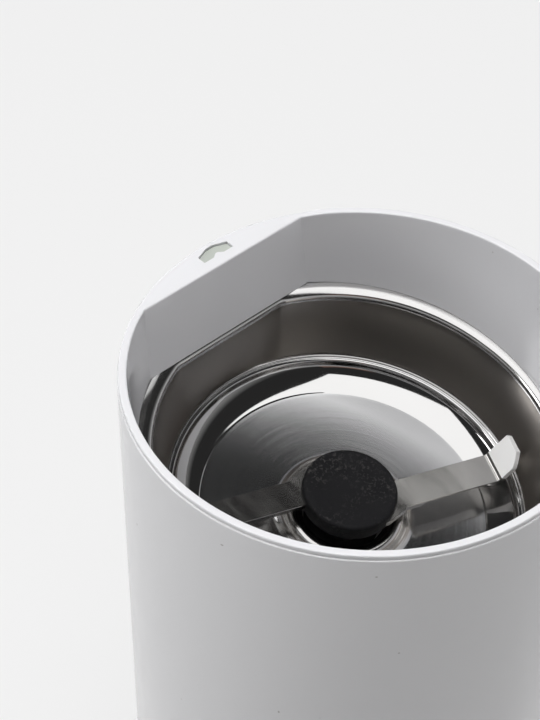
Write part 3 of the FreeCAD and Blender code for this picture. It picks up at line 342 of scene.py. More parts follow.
def glossWhite(name, colour, rough, dust):
    # glossy moulded white: a slow waviness in the skin, a few specks of dust, slightly uneven gloss
    material, tree, shader = newMaterial(name)
    slow = noise(tree, 60.0, 2.0)
    fine = noise(tree, 1800.0, 2.0)
    specks = spread(tree, noise(tree, 700.0, 0.0), 0.0, 0.8, 0.905, 0.93)
    tinted = tint(tree, slow, colour, [c * 0.985 for c in colour])
    tree.links.new(choose(tree, specks, tinted, dust), shader.inputs["Base Color"])
    tree.links.new(spread(tree, slow, rough[0], rough[1]), shader.inputs["Roughness"])
    shader.inputs["IOR"].default_value = 1.5
    add = tree.nodes.new("ShaderNodeMath")
    add.operation = "MULTIPLY_ADD"
    add.inputs[1].default_value = 0.02
    tree.links.new(fine, add.inputs[0])
    tree.links.new(slow, add.inputs[2])
    bump(tree, shader, add.outputs["Value"], 0.00012, 0.5)
    return material


def drawnSteel(name, colour, rough, scale, stretch, grain, source="Object"):
    # rolled or drawn stainless steel: fine lines along one direction change its gloss
    material, tree, shader = newMaterial(name)
    lines = noise(tree, scale, 4.0, stretch, source)
    patches = noise(tree, 40.0, 3.0)
    tree.links.new(tint(tree, patches, colour, [c * 0.9 for c in colour]), shader.inputs["Base Color"])
    tree.links.new(spread(tree, lines, rough[0], rough[1]), shader.inputs["Roughness"])
    shader.inputs["Metallic"].default_value = 1.0
    if grain:
        bump(tree, shader, lines, grain, 0.6)
    return material


def spunSteel(name, colour, rough, twist):
    # floor of the dish: rings left by spinning, so light runs out in fans from the middle
    material, tree, shader = newMaterial(name)
    rings = noise(tree, 1.0, 4.0, (5.0, 420.0, 1.0), "UV")
    patches = noise(tree, 55.0, 3.0)
    tree.links.new(tint(tree, patches, colour, [c * 0.92 for c in colour]), shader.inputs["Base Color"])
    tree.links.new(spread(tree, rings, rough[0], rough[1]), shader.inputs["Roughness"])
    shader.inputs["Metallic"].default_value = 1.0
    shader.inputs["Anisotropic"].default_value = twist
    shader.inputs["Anisotropic Rotation"].default_value = 0.25
    tangent = tree.nodes.new("ShaderNodeTangent")
    tangent.direction_type = "UV_MAP"
    tangent.uv_map = "surface"
    tree.links.new(tangent.outputs["Tangent"], shader.inputs["Tangent"])
    return material


def scuffedBlack(name, colour, other, rough):
    # black rubbery plastic with pale scuffs and short scratches on its top
    material, tree, shader = newMaterial(name)
    scratches = spread(tree, noise(tree, 1500.0, 8.0, distortion=0.8), 0, 1, 0.52, 0.74)
    worn = spread(tree, noise(tree, 95.0, 5.0), 0, 1, 0.42, 0.68)
    product = tree.nodes.new("ShaderNodeMath")
    product.operation = "MULTIPLY"
    tree.links.new(scratches, product.inputs[0])
    tree.links.new(worn, product.inputs[1])
    tree.links.new(tint(tree, product.outputs["Value"], colour, other), shader.inputs["Base Color"])
    tree.links.new(spread(tree, worn, rough[0], rough[1], 0, 1), shader.inputs["Roughness"])
    shader.inputs["Specular IOR Level"].default_value = 0.22
    bump(tree, shader, noise(tree, 900.0, 6.0), 0.00012, 0.8)
    return material


dust = (0.45, 0.44, 0.42)
finish = {
    "shell": glossWhite("shellWhite", (0.80, 0.80, 0.815), (0.16, 0.24), dust),
    "collar": glossWhite("collarWhite", (0.78, 0.78, 0.80), (0.05, 0.08), dust),
    # painted shade: the bowl's wall gets the bowl's steel at about half its brightness and slightly
    # brown
    "bowlSatinShaded": drawnSteel("bowlSatinShaded", (0.335, 0.312, 0.288), (0.28, 0.32), 1.0,
                            (160.0, 14.0, 1.0), 0.0, "UV"),
    "bowlEdge": drawnSteel("bowlEdge", (0.63, 0.625, 0.62), (0.11, 0.15), 1.0,
                           (40.0, 40.0, 1.0), 0.0, "UV"),
    "bowlPolished": drawnSteel("bowlPolished", (0.62, 0.615, 0.61), (0.035, 0.07), 90.0,
                               (1, 1, 1), 0.000001),
    "bowlBoss": drawnSteel("bowlBoss", (0.60, 0.59, 0.58), (0.13, 0.22), 1.0,
                           (8.0, 300.0, 1.0), 0.000002, "UV"),
    "bowlFloor": spunSteel("bowlFloor", (0.62, 0.62, 0.625), (0.13, 0.17), 0.8),
    "blade": drawnSteel("bladeSteel", (0.43, 0.42, 0.405), (0.15, 0.24), 500.0,
                        (1.0, 0.15, 1.0), 0.00001),
    # painted highlight: the tip's steel is near white, where the rest of the blade is mid grey
    "bladeTipHighlight": drawnSteel("bladeTipHighlight", (0.96, 0.955, 0.945), (0.6, 0.72), 700.0,
                           (0.3, 1.0, 0.3), 0.000012),
    "hub": scuffedBlack("hubBlack", (0.006, 0.006, 0.007), (0.06, 0.058, 0.055), (0.55, 0.75)),
}
# the tip past the bend is ground, so rough and only partly metallic; its near-white colour, far paler
# than the blade's, is a painted highlight
finish["bladeTipHighlight"].node_tree.nodes["Principled BSDF"].inputs["Metallic"].default_value = 0.35
print("visible finishes made")

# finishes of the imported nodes, by the record's slot name
slotFinish = {
    "shell_white": finish["shell"],
    "base_white": plainFinish("baseWhite", (0.76, 0.76, 0.77), (0.72, 0.72, 0.73), (0.32, 0.46),
                              900.0, grain=0.00003),
    # the hidden bowl node takes the wall's steel, darkened as painted shade
    "bowl_steel": finish["bowlSatinShaded"],
    "blade_steel": finish["blade"],
    "hub_black": finish["hub"],
    "black_rubber": plainFinish("blackRubber", (0.018, 0.018, 0.018), (0.03, 0.029, 0.028),
                                (0.6, 0.8), 1200.0, grain=0.00006),
    "foot_rubber": plainFinish("footRubber", (0.20, 0.20, 0.205), (0.17, 0.17, 0.175),
                               (0.62, 0.82), 1100.0, grain=0.00007),
    "chassis_plastic": plainFinish("chassisPlastic", (0.47, 0.47, 0.46), (0.42, 0.42, 0.41),
                                   (0.38, 0.55), 700.0),
    "zinc_steel": plainFinish("zincSteel", (0.60, 0.61, 0.63), (0.48, 0.50, 0.53), (0.25, 0.42),
                              800.0, 1.0),
    "shaft_steel": plainFinish("shaftSteel", (0.60, 0.60, 0.61), (0.52, 0.52, 0.53), (0.14, 0.26),
                               1500.0, 1.0, 0.000004, stretch=(1, 1, 0.1)),
    "spring_steel": plainFinish("springSteel", (0.50, 0.50, 0.50), (0.40, 0.40, 0.40),
                                (0.22, 0.36), 1500.0, 1.0),
    "cast_aluminium": plainFinish("castAluminium", (0.62, 0.62, 0.62), (0.52, 0.52, 0.53),
                                  (0.42, 0.6), 1100.0, 1.0, 0.00006),
    "core_laminations": plainFinish("coreLaminations", (0.30, 0.29, 0.28), (0.20, 0.19, 0.18),
                                    (0.4, 0.6), 700.0, 1.0, 0.00005, 4.0, (0.05, 0.05, 3.0)),
    "enamelled_wire": plainFinish("enamelledWire", (0.55, 0.20, 0.07), (0.40, 0.12, 0.04),
                                  (0.22, 0.38), 900.0, 0.6, 0.0001, 2.0, (0.2, 0.2, 3.0)),
    "commutator_copper": plainFinish("commutatorCopper", (0.75, 0.38, 0.22), (0.60, 0.28, 0.16),
                                     (0.22, 0.4), 900.0, 1.0, 0.00001, 3.0, (0.3, 0.3, 4.0)),
    "bearing_bronze": plainFinish("bearingBronze", (0.50, 0.33, 0.15), (0.40, 0.25, 0.11),
                                  (0.4, 0.55), 1500.0, 1.0),
    "brush_carbon": plainFinish("brushCarbon", (0.03, 0.03, 0.032), (0.05, 0.05, 0.052),
                                (0.5, 0.7), 2000.0),
    "rod_plastic": plainFinish("rodPlastic", (0.52, 0.545, 0.50), (0.47, 0.50, 0.46), (0.3, 0.42),
                               900.0),
    "switch_plastic": plainFinish("switchPlastic", (0.03, 0.03, 0.032), (0.045, 0.045, 0.048),
                                  (0.3, 0.45), 900.0),
    "capacitor_case": plainFinish("capacitorCase", (0.60, 0.42, 0.10), (0.52, 0.35, 0.08),
                                  (0.28, 0.42), 700.0),
}
slotOf = {entry["node"]: entry["material_slot"] for entry in frame["record"]["subparts"]}
for nodeName, nodeObject in nodes.items():
    material = slotFinish[slotOf.get(nodeName, "chassis_plastic")]
    nodeObject.data.materials.clear()
    nodeObject.data.materials.append(material)
print("nodes dressed")


housing = {
    "rimRadius": 45.0, "draft": 0.010, "bore": 42.6, "foot": 2.5, "flange": 1.0, "edge": 0.3,
    "lowerEdge": 0.9, "rebate": 44.0, "rebateDepth": 12.0, "skirt": 43.3, "skirtDepth": 34.0,
    "cordZ": 15.0, "cordHole": 4.0,
    # as (x, x, y, y, z, z); the posts end on the chassis's leaning plane, and the shelf joins the rails
    "post": (35.4, 43.0, -3, 3, 52), "postTop": -49.7, "postAngles": (-90, 0, 180),
    "stud": (32.3, 43.0, -3.2, 3.2, 5.2, 20), "studAngles": (30, 150, 270),
    "rails": [(-4.85, -3.45, 40.0, 42.8, 63, 100), (3.45, 4.85, 40.0, 42.8, 63, 100)],
    "shelf": (-4.85, 4.85, 39.2, 42.8, 63.8, 66.0),
}


def housingRadius(z):
    return housing["rimRadius"] - housing["draft"] * (rimHeight - z)


def makeHousing():
    h = housing
    top, low = rimHeight - h["flange"], h["foot"]
    outline = rounded([
        (h["bore"], low, 0.15),
        (housingRadius(low), low, h["lowerEdge"]),
        (housingRadius(top), top, h["edge"]),
        (h["rebate"], top, 0.12),
        (h["rebate"], rimHeight - h["rebateDepth"], 0.1),
        (h["skirt"], rimHeight - h["rebateDepth"], 0.1),
        (h["skirt"], rimHeight - h["skirtDepth"], 0.1),
        (h["bore"], rimHeight - h["skirtDepth"], 0.1),
    ])
    shell = makeMesh("housingShell", *turnedRing(outline, 288))
    wide = h["cordHole"]
    hole = turnedSolid([(0, 38), (wide, 38), (wide, 46), (0, 46)], 48)
    hole = (turnedBy(hole[0], "x", -90) + [0, 0, h["cordZ"]], hole[1])
    cutAway(shell, hole)
    # posts, studs, rails and a shelf inside, joined on as closed solids
    inside = []
    for azimuth in h["postAngles"]:
        c, s = math.cos(math.radians(azimuth)), math.sin(math.radians(azimuth))

        def postTop(flat):
            # the leaning plane over a post that is still to be turned to its place
            return planeHeight(0, flat[:, 0] * s + flat[:, 1] * c, h["postTop"])

        points, faces = block(*h["post"], postTop)
        inside.append((turnedBy(points, "z", azimuth), faces))
    for azimuth in h["studAngles"]:
        points, faces = block(*h["stud"])
        inside.append((turnedBy(points, "z", azimuth), faces))
    inside += [block(*place) for place in (*h["rails"], h["shelf"])]
    extra = makeMesh("extra", *joined(inside), 20)
    work = bmesh.new()
    work.from_mesh(shell.data)
    work.from_mesh(extra.data)
    work.to_mesh(shell.data)
    work.free()
    bpy.data.objects.remove(extra)
    shell.data.shade_smooth()
    shell.data.set_sharp_from_angle(angle=math.radians(30))
    return shell


fit(makeHousing(), "base", "outer_housing", "shell_white", finish["shell"])


def ringSteps(arc, corner, flat):
    # one lap of a D: front arc, corner and flat on the right, then the same back on the left
    region = np.concatenate([np.zeros(arc), np.ones(corner), np.full(flat + 1, 2)])
    part = np.concatenate([np.arange(arc) / arc, np.arange(corner) / corner, np.arange(flat + 1) / flat])
    side = np.concatenate([np.ones(len(region)), -np.ones(len(region) - 2)])
    region = np.concatenate([region, region[-2:0:-1]])
    part = np.concatenate([part, part[-2:0:-1]])
    return region, part, side


def dAngles(radius, chord, corner):
    small, rise = radius - corner, chord - corner
    across = np.sqrt(small ** 2 - rise ** 2)
    return across, rise, np.arctan2(rise, across), np.arctan2(chord, across)


def dOutline(ring, radius, chord, corner):
    # circle of that radius with its back cut off by a chord, the two corners rounded
    region, part, side = ring
    across, rise, touch, flat = dAngles(radius, chord, corner)
    a = -np.pi / 2 + part * (touch + np.pi / 2)
    b = touch + part * (np.pi / 2 - touch)
    parts = [region == 0, region == 1]
    x = np.select(parts, [radius * np.cos(a), across + corner * np.cos(b)], across * (1 - part))
    y = np.select(parts, [radius * np.sin(a), rise + corner * np.sin(b)], chord)
    return side * x, y


def circleOutline(ring, radius, reference):
    # circle whose points face those of a reference D
    region, part, side = ring
    touch, flat = dAngles(*reference)[2:]
    a = np.where(region == 0, -np.pi / 2 + part * (touch + np.pi / 2),
                 np.where(region == 1, touch + part * (flat - touch), flat + part * (np.pi / 2 - flat)))
    return side * radius * np.cos(a), radius * np.sin(a)


collar = {
    "mouth": 43.2, "taper": 0.09, "chord": 38.3, "chordDraft": 7.0, "corner": 0.55, "lip": 0.3,
    "flange": 44.75, "flangeDepth": 0.93, "deckDrop": 0.15, "deckEdge": 44.0, "spigot": 43.92,
    "spigotDepth": 11.7, "skirt": 43.18, "plane": -23.6,
    # the hollow's radius, its distance behind the flat wall, and its two depths
    "hollow": 42.5, "hollowGap": 1.5, "hollowTop": 1.95, "hollowFoot": 45.0,
    # the rod's window as (x, y) from its middle, and the pocket behind it
    "slot": [(-3.65, 40.6), (-1.3, 40.6), (-0.25, 41.35), (0.25, 41.35), (1.3, 40.6),
             (3.65, 40.6), (3.65, 42.5), (0.7, 43.6), (-0.7, 43.6), (-3.65, 42.5)],
    "slotX": 0.7, "slotLow": 124.4, "slotTall": 6.6, "pocket": (41.8, 46.0), "pocketTop": 128.05,
}


def makeCollar():
    c = collar
    ring = ringSteps(150, 8, 40)
    region, part, side = ring
    slope = math.tan(math.radians(c["chordDraft"]))
    reference = (c["mouth"], c["chord"], c["corner"])

    def inner(depth, grow=0.0):
        radius, chord = c["mouth"] - c["taper"] * depth + grow, c["chord"] - slope * depth + grow
        return dOutline(ring, radius, chord, c["corner"])

    # how far down the wall ends on the leaning bowl flange, found by repeating
    depth = np.full(len(side), 20.0)
    for _ in range(6):
        x, y = inner(depth)
        depth = rimHeight - planeHeight(x, y, c["plane"])
    # the lip sinks a little to the deck near the flat side
    blend = np.where(region == 0, np.clip((part - 0.955) / 0.045, 0, 1), 1.0)
    blend = blend * blend * (3 - 2 * blend)
    drop = c["deckDrop"] * blend
    rows = []
    for t in np.linspace(1, 0, 26):
        d = c["lip"] + drop + (depth - c["lip"] - drop) * t
        rows.append((*inner(d), rimHeight - d))
    for a in np.linspace(0, math.pi / 2, 7)[1:]:
        grow = c["lip"] * (1 - math.cos(a))
        d = drop + c["lip"] * (1 - math.sin(a))
        rows.append((*inner(d, grow), rimHeight - d))
    x0, y0 = inner(drop, c["lip"])
    edge = c["flange"] - 0.25 + (c["deckEdge"] - c["flange"] + 0.25) * blend
    x1, y1 = circleOutline(ring, edge, reference)
    for t in np.linspace(0, 1, 6)[1:]:
        rows.append((x0 + (x1 - x0) * t, y0 + (y1 - y0) * t, rimHeight - drop))
    for a in np.linspace(0, math.pi / 2, 7)[1:]:
        radius = edge + (c["flange"] - edge) * math.sin(a)
        d = drop + (0.3 + 0.13 * blend) * (1 - math.cos(a))
        rows.append((*circleOutline(ring, radius, reference), rimHeight - d))
    for radius, d in ((c["flange"], c["flangeDepth"] - 0.08), (c["flange"] - 0.08, c["flangeDepth"]),
                      (c["spigot"], c["flangeDepth"]), (c["spigot"], c["spigotDepth"]),
                      (c["skirt"], c["spigotDepth"])):
        rows.append((*circleOutline(ring, radius, reference), rimHeight - d + 0 * side))
    x, y = circleOutline(ring, c["skirt"], reference)
    bottom = planeHeight(x, y, c["plane"])
    rows.append((x, y, bottom))
    grid = np.stack([np.stack([r[0], r[1], r[2] + 0 * side], -1) for r in rows])
    faces = gridFaces(len(rows), len(side), True)
    piece = makeMesh("topCollar", grid.reshape(-1, 3), faces, 28)

    # the hollow behind the flat wall, where the interlock rod runs
    def hollow(d):
        chord = c["chord"] + c["hollowGap"] - slope * d
        half = math.acos(chord / c["hollow"])
        a = np.linspace(math.pi / 2 - half, math.pi / 2 + half, 48)
        return np.stack([c["hollow"] * np.cos(a), c["hollow"] * np.sin(a), rimHeight - d + 0 * a], -1)

    cutAway(piece, prism(hollow(c["hollowFoot"]), hollow(c["hollowTop"])))
    outline = np.array(c["slot"]) + [c["slotX"], 0]
    low = np.column_stack([outline, np.full(len(outline), c["slotLow"])])
    cutAway(piece, prism(low, low + [0, 0, c["slotTall"]]))
    left, right = outline[:, 0].min() - 0.4, outline[:, 0].max() + 0.4
    cutAway(piece, block(left, right, *c["pocket"], c["slotLow"], c["pocketTop"]))
    return piece


fit(makeCollar(), "base", "top_collar", "shell_white", finish["collar"])


bowl = {
    "radius": 39.2, "chord": 36.8, "corner": 4.0, "top": -23.65, "wall": 0.7,
    "flange": 42.4, "flangeChord": 38.2, "flangeCorner": 3.0,
    "dish": 35.3, "dishTop": -38.0, "turnIn": 1.6,
    "coveStart": 33.75, "coveEnd": 28.6, "coveLow": 7.0, "coveHigh": 38.0,
    "floor": -43.0, "floorRise": 0.68, "floorEnd": 13.6,
    # rolled edge of the mouth, as (outwards, down)
    "roll": [(2.3, 0.0), (2.1, 0.02), (1.9, 0.06), (1.65, 0.125), (1.4, 0.19), (1.15, 0.265),
             (0.9, 0.36), (0.68, 0.46), (0.48, 0.58), (0.30, 0.76), (0.16, 1.0), (0.06, 1.35)],
    # small step under the wall and the polished bead, as (radius, height)
    "bead": [(35.3, -38.0), (35.28, -38.55), (35.16, -38.78), (34.98, -38.88), (34.86, -38.86),
             (34.72, -38.70), (34.52, -38.60), (34.32, -38.66), (34.14, -38.82), (34.04, -39.02),
             (34.0, -39.25), (33.95, -39.6)],
    # rolled boss round the shaft's hole
    "boss": [(13.2, -42.72), (12.85, -42.6), (12.5, -42.35), (12.2, -41.95), (11.95, -41.5),
             (11.65, -41.12), (11.25, -40.86), (10.8, -40.76), (10.3, -40.78), (9.8, -40.92),
             (9.35, -41.2), (8.95, -41.6), (8.6, -42.1), (8.35, -42.7), (8.3, -44.0)],
    "underside": [(8.9, -44.6), (9.2, -43.8), (28.3, -43.7), (33.4, -41.6), (34.7, -39.6),
                  (36.0, -38.6)],
}
# the bowl's finishes, by place; the wall and the flange's underside get a darker copy of the bowl's
# steel, painted shade
shadedSatin, polished, spun, rolled, edged = range(5)


def makeBowl():
    # rings of points from the flange's underside, down the inside, through the hole and up the outside
    b = bowl
    ring = ringSteps(104, 10, 26)
    side = ring[2]
    base = (b["radius"], b["chord"], b["corner"])
    rows, kinds = [], []

    def add(x, y, k, kind):
        rows.append(np.stack([x, y, np.full(len(side), k)], -1))
        kinds.append(kind)

    def dRow(radius, chord, corner, k, kind):
        add(*dOutline(ring, radius, chord, corner), k, kind)

    def circleRow(radius, k, kind):
        add(*circleOutline(ring, radius, base), k, kind)

    def wallRow(grow, s, k):
        # between the D of the mouth and the circle of the dish; the wall turns in towards its foot
        w = 1 - s ** b["turnIn"]
        x, y = dOutline(ring, b["radius"] + grow, b["chord"] + grow, b["corner"] + grow)
        u, v = circleOutline(ring, b["dish"] + grow, base)
        add(w * x + (1 - w) * u, w * y + (1 - w) * v, k, shadedSatin)

    top = b["top"]
    dRow(b["flange"], b["flangeChord"], b["flangeCorner"], top - b["wall"], shadedSatin)
    dRow(b["flange"], b["flangeChord"], b["flangeCorner"], top, edged)
    for grow, drop in b["roll"]:
        dRow(b["radius"] + grow, b["chord"] + grow * 0.7, b["corner"] + grow, top - drop, edged)
    for s in np.linspace(0, 1, 26):
        wallRow(0.0, s, top - 1.8 + (b["dishTop"] - top + 1.8) * s)
    for radius, k in b["bead"]:
        circleRow(radius, k, polished)
    # shallow cove whose slope eases from the bead down to a fine crease round the floor
    r = np.linspace(b["coveStart"], b["coveEnd"], 26)
    slope = np.radians(b["coveLow"] + (b["coveHigh"] - b["coveLow"]) * (r - r[-1]) / (r[0] - r[-1]))
    step = -np.diff(r) * np.tan(slope[:-1] / 2 + slope[1:] / 2)
    crease = b["floor"] + b["floorRise"]
    k = crease + 0.12 + np.concatenate([np.cumsum(step[::-1])[::-1], [0]])
    circleRow(b["coveStart"] + 0.13, k[0] + 0.18, polished)
    for radius, height in zip(r, k):
        circleRow(radius, height, polished)
    circleRow(b["coveEnd"] - 0.1, crease + 0.02, polished)
    floorStart = b["coveEnd"] - 0.25
    circleRow(floorStart, crease, polished)
    # floor dished like a shallow saucer, level round the boss
    for t in np.linspace(0, 1, 22)[1:]:
        radius = floorStart + (b["floorEnd"] - floorStart) * t
        circleRow(radius, b["floor"] + b["floorRise"] * (1 - t) ** 2, spun)
    for radius, k in b["boss"]:
        circleRow(radius, k, rolled)
    for radius, k in b["underside"]:
        circleRow(radius, k, polished)
    for s in np.linspace(1, 0, 14):
        wallRow(b["wall"], s, top - b["wall"] - 0.1 + (b["dishTop"] - top + 0.5) * s)
    grid = np.stack(rows)
    count, around = grid.shape[:2]
    quads = gridFaces(count, around, True)
    # u runs once round the axis and v down the profile, in decimetres
    gap = np.linalg.norm(np.diff(grid[:, 0], axis=0, append=grid[:1, 0]), axis=1)
    v = np.concatenate([[0], np.cumsum(gap)]) / 100
    u = np.linspace(0, 1, around + 1)
    i, j = np.meshgrid(np.arange(count), np.arange(around), indexing="ij")
    uv = np.stack([np.stack([u[j], v[i]], -1), np.stack([u[j + 1], v[i]], -1),
                   np.stack([u[j + 1], v[i + 1]], -1), np.stack([u[j], v[i + 1]], -1)], 2)
    kinds = np.array(kinds)
    kind = np.where(kinds == np.roll(kinds, -1), kinds, np.maximum(kinds, np.roll(kinds, -1)))
    return makeMesh("grindingBowl", leaned(grid.reshape(-1, 3)), quads, 40, uv.reshape(-1, 2),
                    np.repeat(kind, around))


# the first finish, for the wall, is the steel darkened as painted shade
fit(makeBowl(), "base", "grinding_bowl", "bowl_steel", finish["bowlSatinShaded"], finish["bowlPolished"],
    finish["bowlFloor"], finish["bowlBoss"], finish["bowlEdge"])


hub = {"radius": 9.45, "top": -34.7, "bottom": -38.3, "dish": 0.18, "edge": 0.75,
       "sleeve": 6.2, "foot": -43.4}


def makeHub():
    h = hub
    r = np.linspace(0, h["radius"] - 1.5, 24)
    # the top dips a little in the middle
    dip = np.stack([r, h["top"] - h["dish"] * (1 - (r / r[-1]) ** 2)], -1)
    edge = rounded([
        (h["radius"] - 1.5, h["top"], 0),
        (h["radius"] - 0.1, h["top"], h["edge"]),
        (h["radius"], h["bottom"], 0.5),
        (h["sleeve"], h["bottom"], 0.3),
        (h["sleeve"], h["foot"], 0.3),
        (0, h["foot"], 0),
    ])
    points, faces = turnedSolid(np.concatenate([dip, edge[1:]]), 144)
    return makeMesh("bladeHub", leaned(points), faces, 40)


fit(makeHub(), "rotor", "blade_hub", "hub_black", finish["hub"])


blade = {
    "top": -36.4, "thick": 1.3, "width": 6.3, "bend": 30.0, "azimuth": -19.0, "tip": 6.2, "angle": 57.0,
    "round": 0.7, "edge": 0.09, "clip": 0.34, "clipFrom": 0.58, "pitch": 3.5, "pitchFrom": 6.0,
    "pitchOver": 6.0, "grindFrom": 14.0, "grindTo": 28.5, "grind": 1.5, "grindLift": 0.72,
    "gusset": [(0, -5.5), (9.6, -5.5), (9.6, -6.25), (9.2, -6.75), (5.6, -8.2), (5.0, -8.4), (0, -8.4)],
}


def makeArm():
    # a cross-section with small edge radii is carried along the arm, round the bend and up the tip
    b = blade
    angle = math.radians(b["angle"])
    start = b["bend"] - b["round"] * math.tan(angle / 2)
    s1 = np.linspace(0, start, 60)
    turn = np.linspace(0, angle, 12)[1:]
    s3 = np.linspace(0, b["tip"], 26)[1:]
    x = np.concatenate([s1, start + b["round"] * np.sin(turn),
                        start + b["round"] * math.sin(angle) + s3 * math.cos(angle)])
    z = np.concatenate([0 * s1, b["round"] * (1 - np.cos(turn)),
                        b["round"] * (1 - math.cos(angle)) + s3 * math.sin(angle)])
    tilt = np.concatenate([0 * s1, turn, 0 * s3 + angle])
    along = np.concatenate([s1, b["bend"] + 0 * turn, b["bend"] + s3])
    reach = np.concatenate([0 * s1, 0 * turn, s3 / b["tip"]])
    # the outer corner of the tip is clipped, with a rounded end
    clipped = np.clip((reach - b["clipFrom"]) / (1 - b["clipFrom"]), 0, 1) ** 1.25
    far = b["width"] * (1 - b["clip"] * clipped)
    near = 0.25 * np.clip((reach - 0.93) / 0.07, 0, 1) ** 2
    # how much is ground away under the leading edge
    ground = np.clip((along - b["grindFrom"] + 1) / 1.2, 0, 1)
    ground = ground * np.clip(b["grindTo"] - along, 0, 1)
    t, e = b["thick"], b["edge"]
    # across positions as (share of the width, offset) with the thickness below the top face
    share = np.array([0, 0, 0, 0, 0.5, 1, 1, 1, 1, 0.5])
    offset = np.array([e, 0, 0, e, 0, -e, 0, 0, -e, 0])
    down = np.array([0, e, t - e, t, t, t, t - e, e, 0, 0])
    cut = np.array([0, 0, 0, 0, 0, -b["grind"], -0.15, 0, 0, 0])
    lift = np.array([0, 0, 0, 0, 0, 0, -b["grindLift"], 0, 0, 0])
    y = near[:, None] + share * (far - near)[:, None] + offset + cut * ground[:, None]
    depth = down + lift * ground[:, None]
    px = x[:, None] + depth * np.sin(tilt)[:, None]
    pz = z[:, None] - depth * np.cos(tilt)[:, None]
    # past the hub the arm is pitched a little about its own middle line
    eased = np.clip((px - b["pitchFrom"]) / b["pitchOver"], 0, 1)
    pitch = math.tan(math.radians(b["pitch"])) * eased * eased * (3 - 2 * eased)
    grid = np.stack([px, -y, b["top"] + pz + (b["width"] / 2 - y) * pitch], -1)
    rows, columns = grid.shape[:2]
    faces = gridFaces(rows, columns, False).tolist()
    faces += [list(range(columns))[::-1], list(range((rows - 1) * columns, rows * columns))]
    # faces past the bend take the tip's finish, whose pale colour is a painted highlight
    litTipFaces = np.repeat((np.arange(rows - 1) > len(s1) + len(turn)).astype(int), columns)
    return grid.reshape(-1, 3), faces, np.concatenate([litTipFaces, [0, 1]])


def makeBlade():
    b = blade
    points, faces, ground = makeArm()
    arm = (points, faces)
    parts = [arm, (turnedBy(arm[0], "z", 180), arm[1])]
    # gusset beside each arm at the hub
    corners = np.array(b["gusset"])
    low = np.column_stack([corners, np.full(len(corners), b["top"] - b["thick"] + 0.02)])
    gusset = prism(low, low + [0, 0, b["thick"] - 0.04])
    parts += [gusset, (turnedBy(gusset[0], "z", 180), gusset[1])]
    points, faces = joined(parts)
    # the tip faces of both arms take the finish with the painted highlight
    tipHighlightMarks = np.concatenate([ground, ground, np.zeros(len(faces) - 2 * len(ground), int)])
    return makeMesh("cuttingBlade", leaned(turnedBy(points, "z", b["azimuth"])), faces, 25, None, tipHighlightMarks)


fit(makeBlade(), "rotor", "cutting_blade", "blade_steel", finish["blade"], finish["bladeTipHighlight"])


feet = {"radius": 5.0, "ring": 31.0, "top": 2.8, "edge": 0.7, "stem": 2.0, "stemTop": 6.4}


def makeFeet():
    f = feet
    outline = np.concatenate([[(0, f["stemTop"])], rounded([
        (f["stem"], f["stemTop"], 0),
        (f["stem"], f["top"], 0.001),
        (f["radius"], f["top"], 0.12),
        (f["radius"], 0, f["edge"]),
        (f["radius"] - 1.6, 0, 0.05),
        (f["radius"] - 2.0, 0.3, 0.1),
        (0, 0.3, 0),
    ])])
    points, faces = turnedSolid(outline, 72)
    spots = [(turnedBy(points + [f["ring"], 0, 0], "z", 45 + 90 * n), faces) for n in range(4)]
    return makeMesh("feetPads", *joined(spots), 35)


fit(makeFeet(), "base", "rubber_feet", "foot_rubber", slotFinish["foot_rubber"])


bush = {"bore": 2.3, "neck": 3.9, "flange": 5.4, "thick": 1.05, "back": -4.2, "z": 15.0}


def makeBush():
    b = bush
    outline = rounded([
        (b["bore"], b["back"], 0.2),
        (b["neck"], b["back"], 0.3),
        (b["neck"], 0.0, 0.1),
        (b["flange"], 0.0, 0.15),
        (b["flange"], b["thick"], 0.6),
        (b["bore"], b["thick"], 0.35),
    ])
    points, faces = turnedRing(outline, 96)
    points = turnedBy(points, "x", -90) + [0, housingRadius(b["z"] + 6.0), b["z"]]
    return makeMesh("cordBush", points, faces, 40)


fit(makeBush(), "base", "cord_gland", "black_rubber", slotFinish["black_rubber"])


spring = {"wire": 0.25, "radius": 1.25, "turns": 4, "low": 66.3, "high": 79.6, "y": 40.75, "shelf": 66.0,
          "travel": 3.0, "around": 12}


def makeSpring():
    # round wire of a helix: each ring of the tube lies across the wire's own direction
    g = spring
    t = np.linspace(0, g["turns"] * 2 * np.pi, g["turns"] * 40 + 1)
    rise = (g["high"] - g["low"]) / t[-1]
    out = np.stack([np.cos(t), np.sin(t), 0 * t], -1)
    along = np.stack([-g["radius"] * np.sin(t), g["radius"] * np.cos(t), rise + 0 * t], -1)
    along /= np.linalg.norm(along, axis=1)[:, None]
    across = np.cross(along, out)
    path = g["radius"] * out + np.stack([0 * t, g["y"] + 0 * t, g["low"] + rise * t], -1)
    count = g["around"]
    a = np.linspace(0, 2 * np.pi, count, endpoint=False)[:, None]
    grid = path[:, None] + g["wire"] * (np.cos(a) * out[:, None] + np.sin(a) * across[:, None])
    faces = gridFaces(len(t), count, False).tolist()
    faces += [list(range(count))[::-1], list(range((len(t) - 1) * count, len(t) * count))]
    piece = makeMesh("returnSpring", grid.reshape(-1, 3), faces, 40)
    # the rod presses it against its shelf; its coils are not moved here by the rod's travel
    fit(piece, "base", "return_spring", "spring_steel", slotFinish["spring_steel"])
    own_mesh(piece)


makeSpring()
print("pieces made")


# backdrop is the pale grey that is seen, bounce the floor's share of light on the object
studio = {"backdrop": (0.856, 0.856, 0.856), "floorShare": 0.14, "bounce": 0.5, "floorHalf": 3000.0,
          "aim": (0, 0, 0.11)}


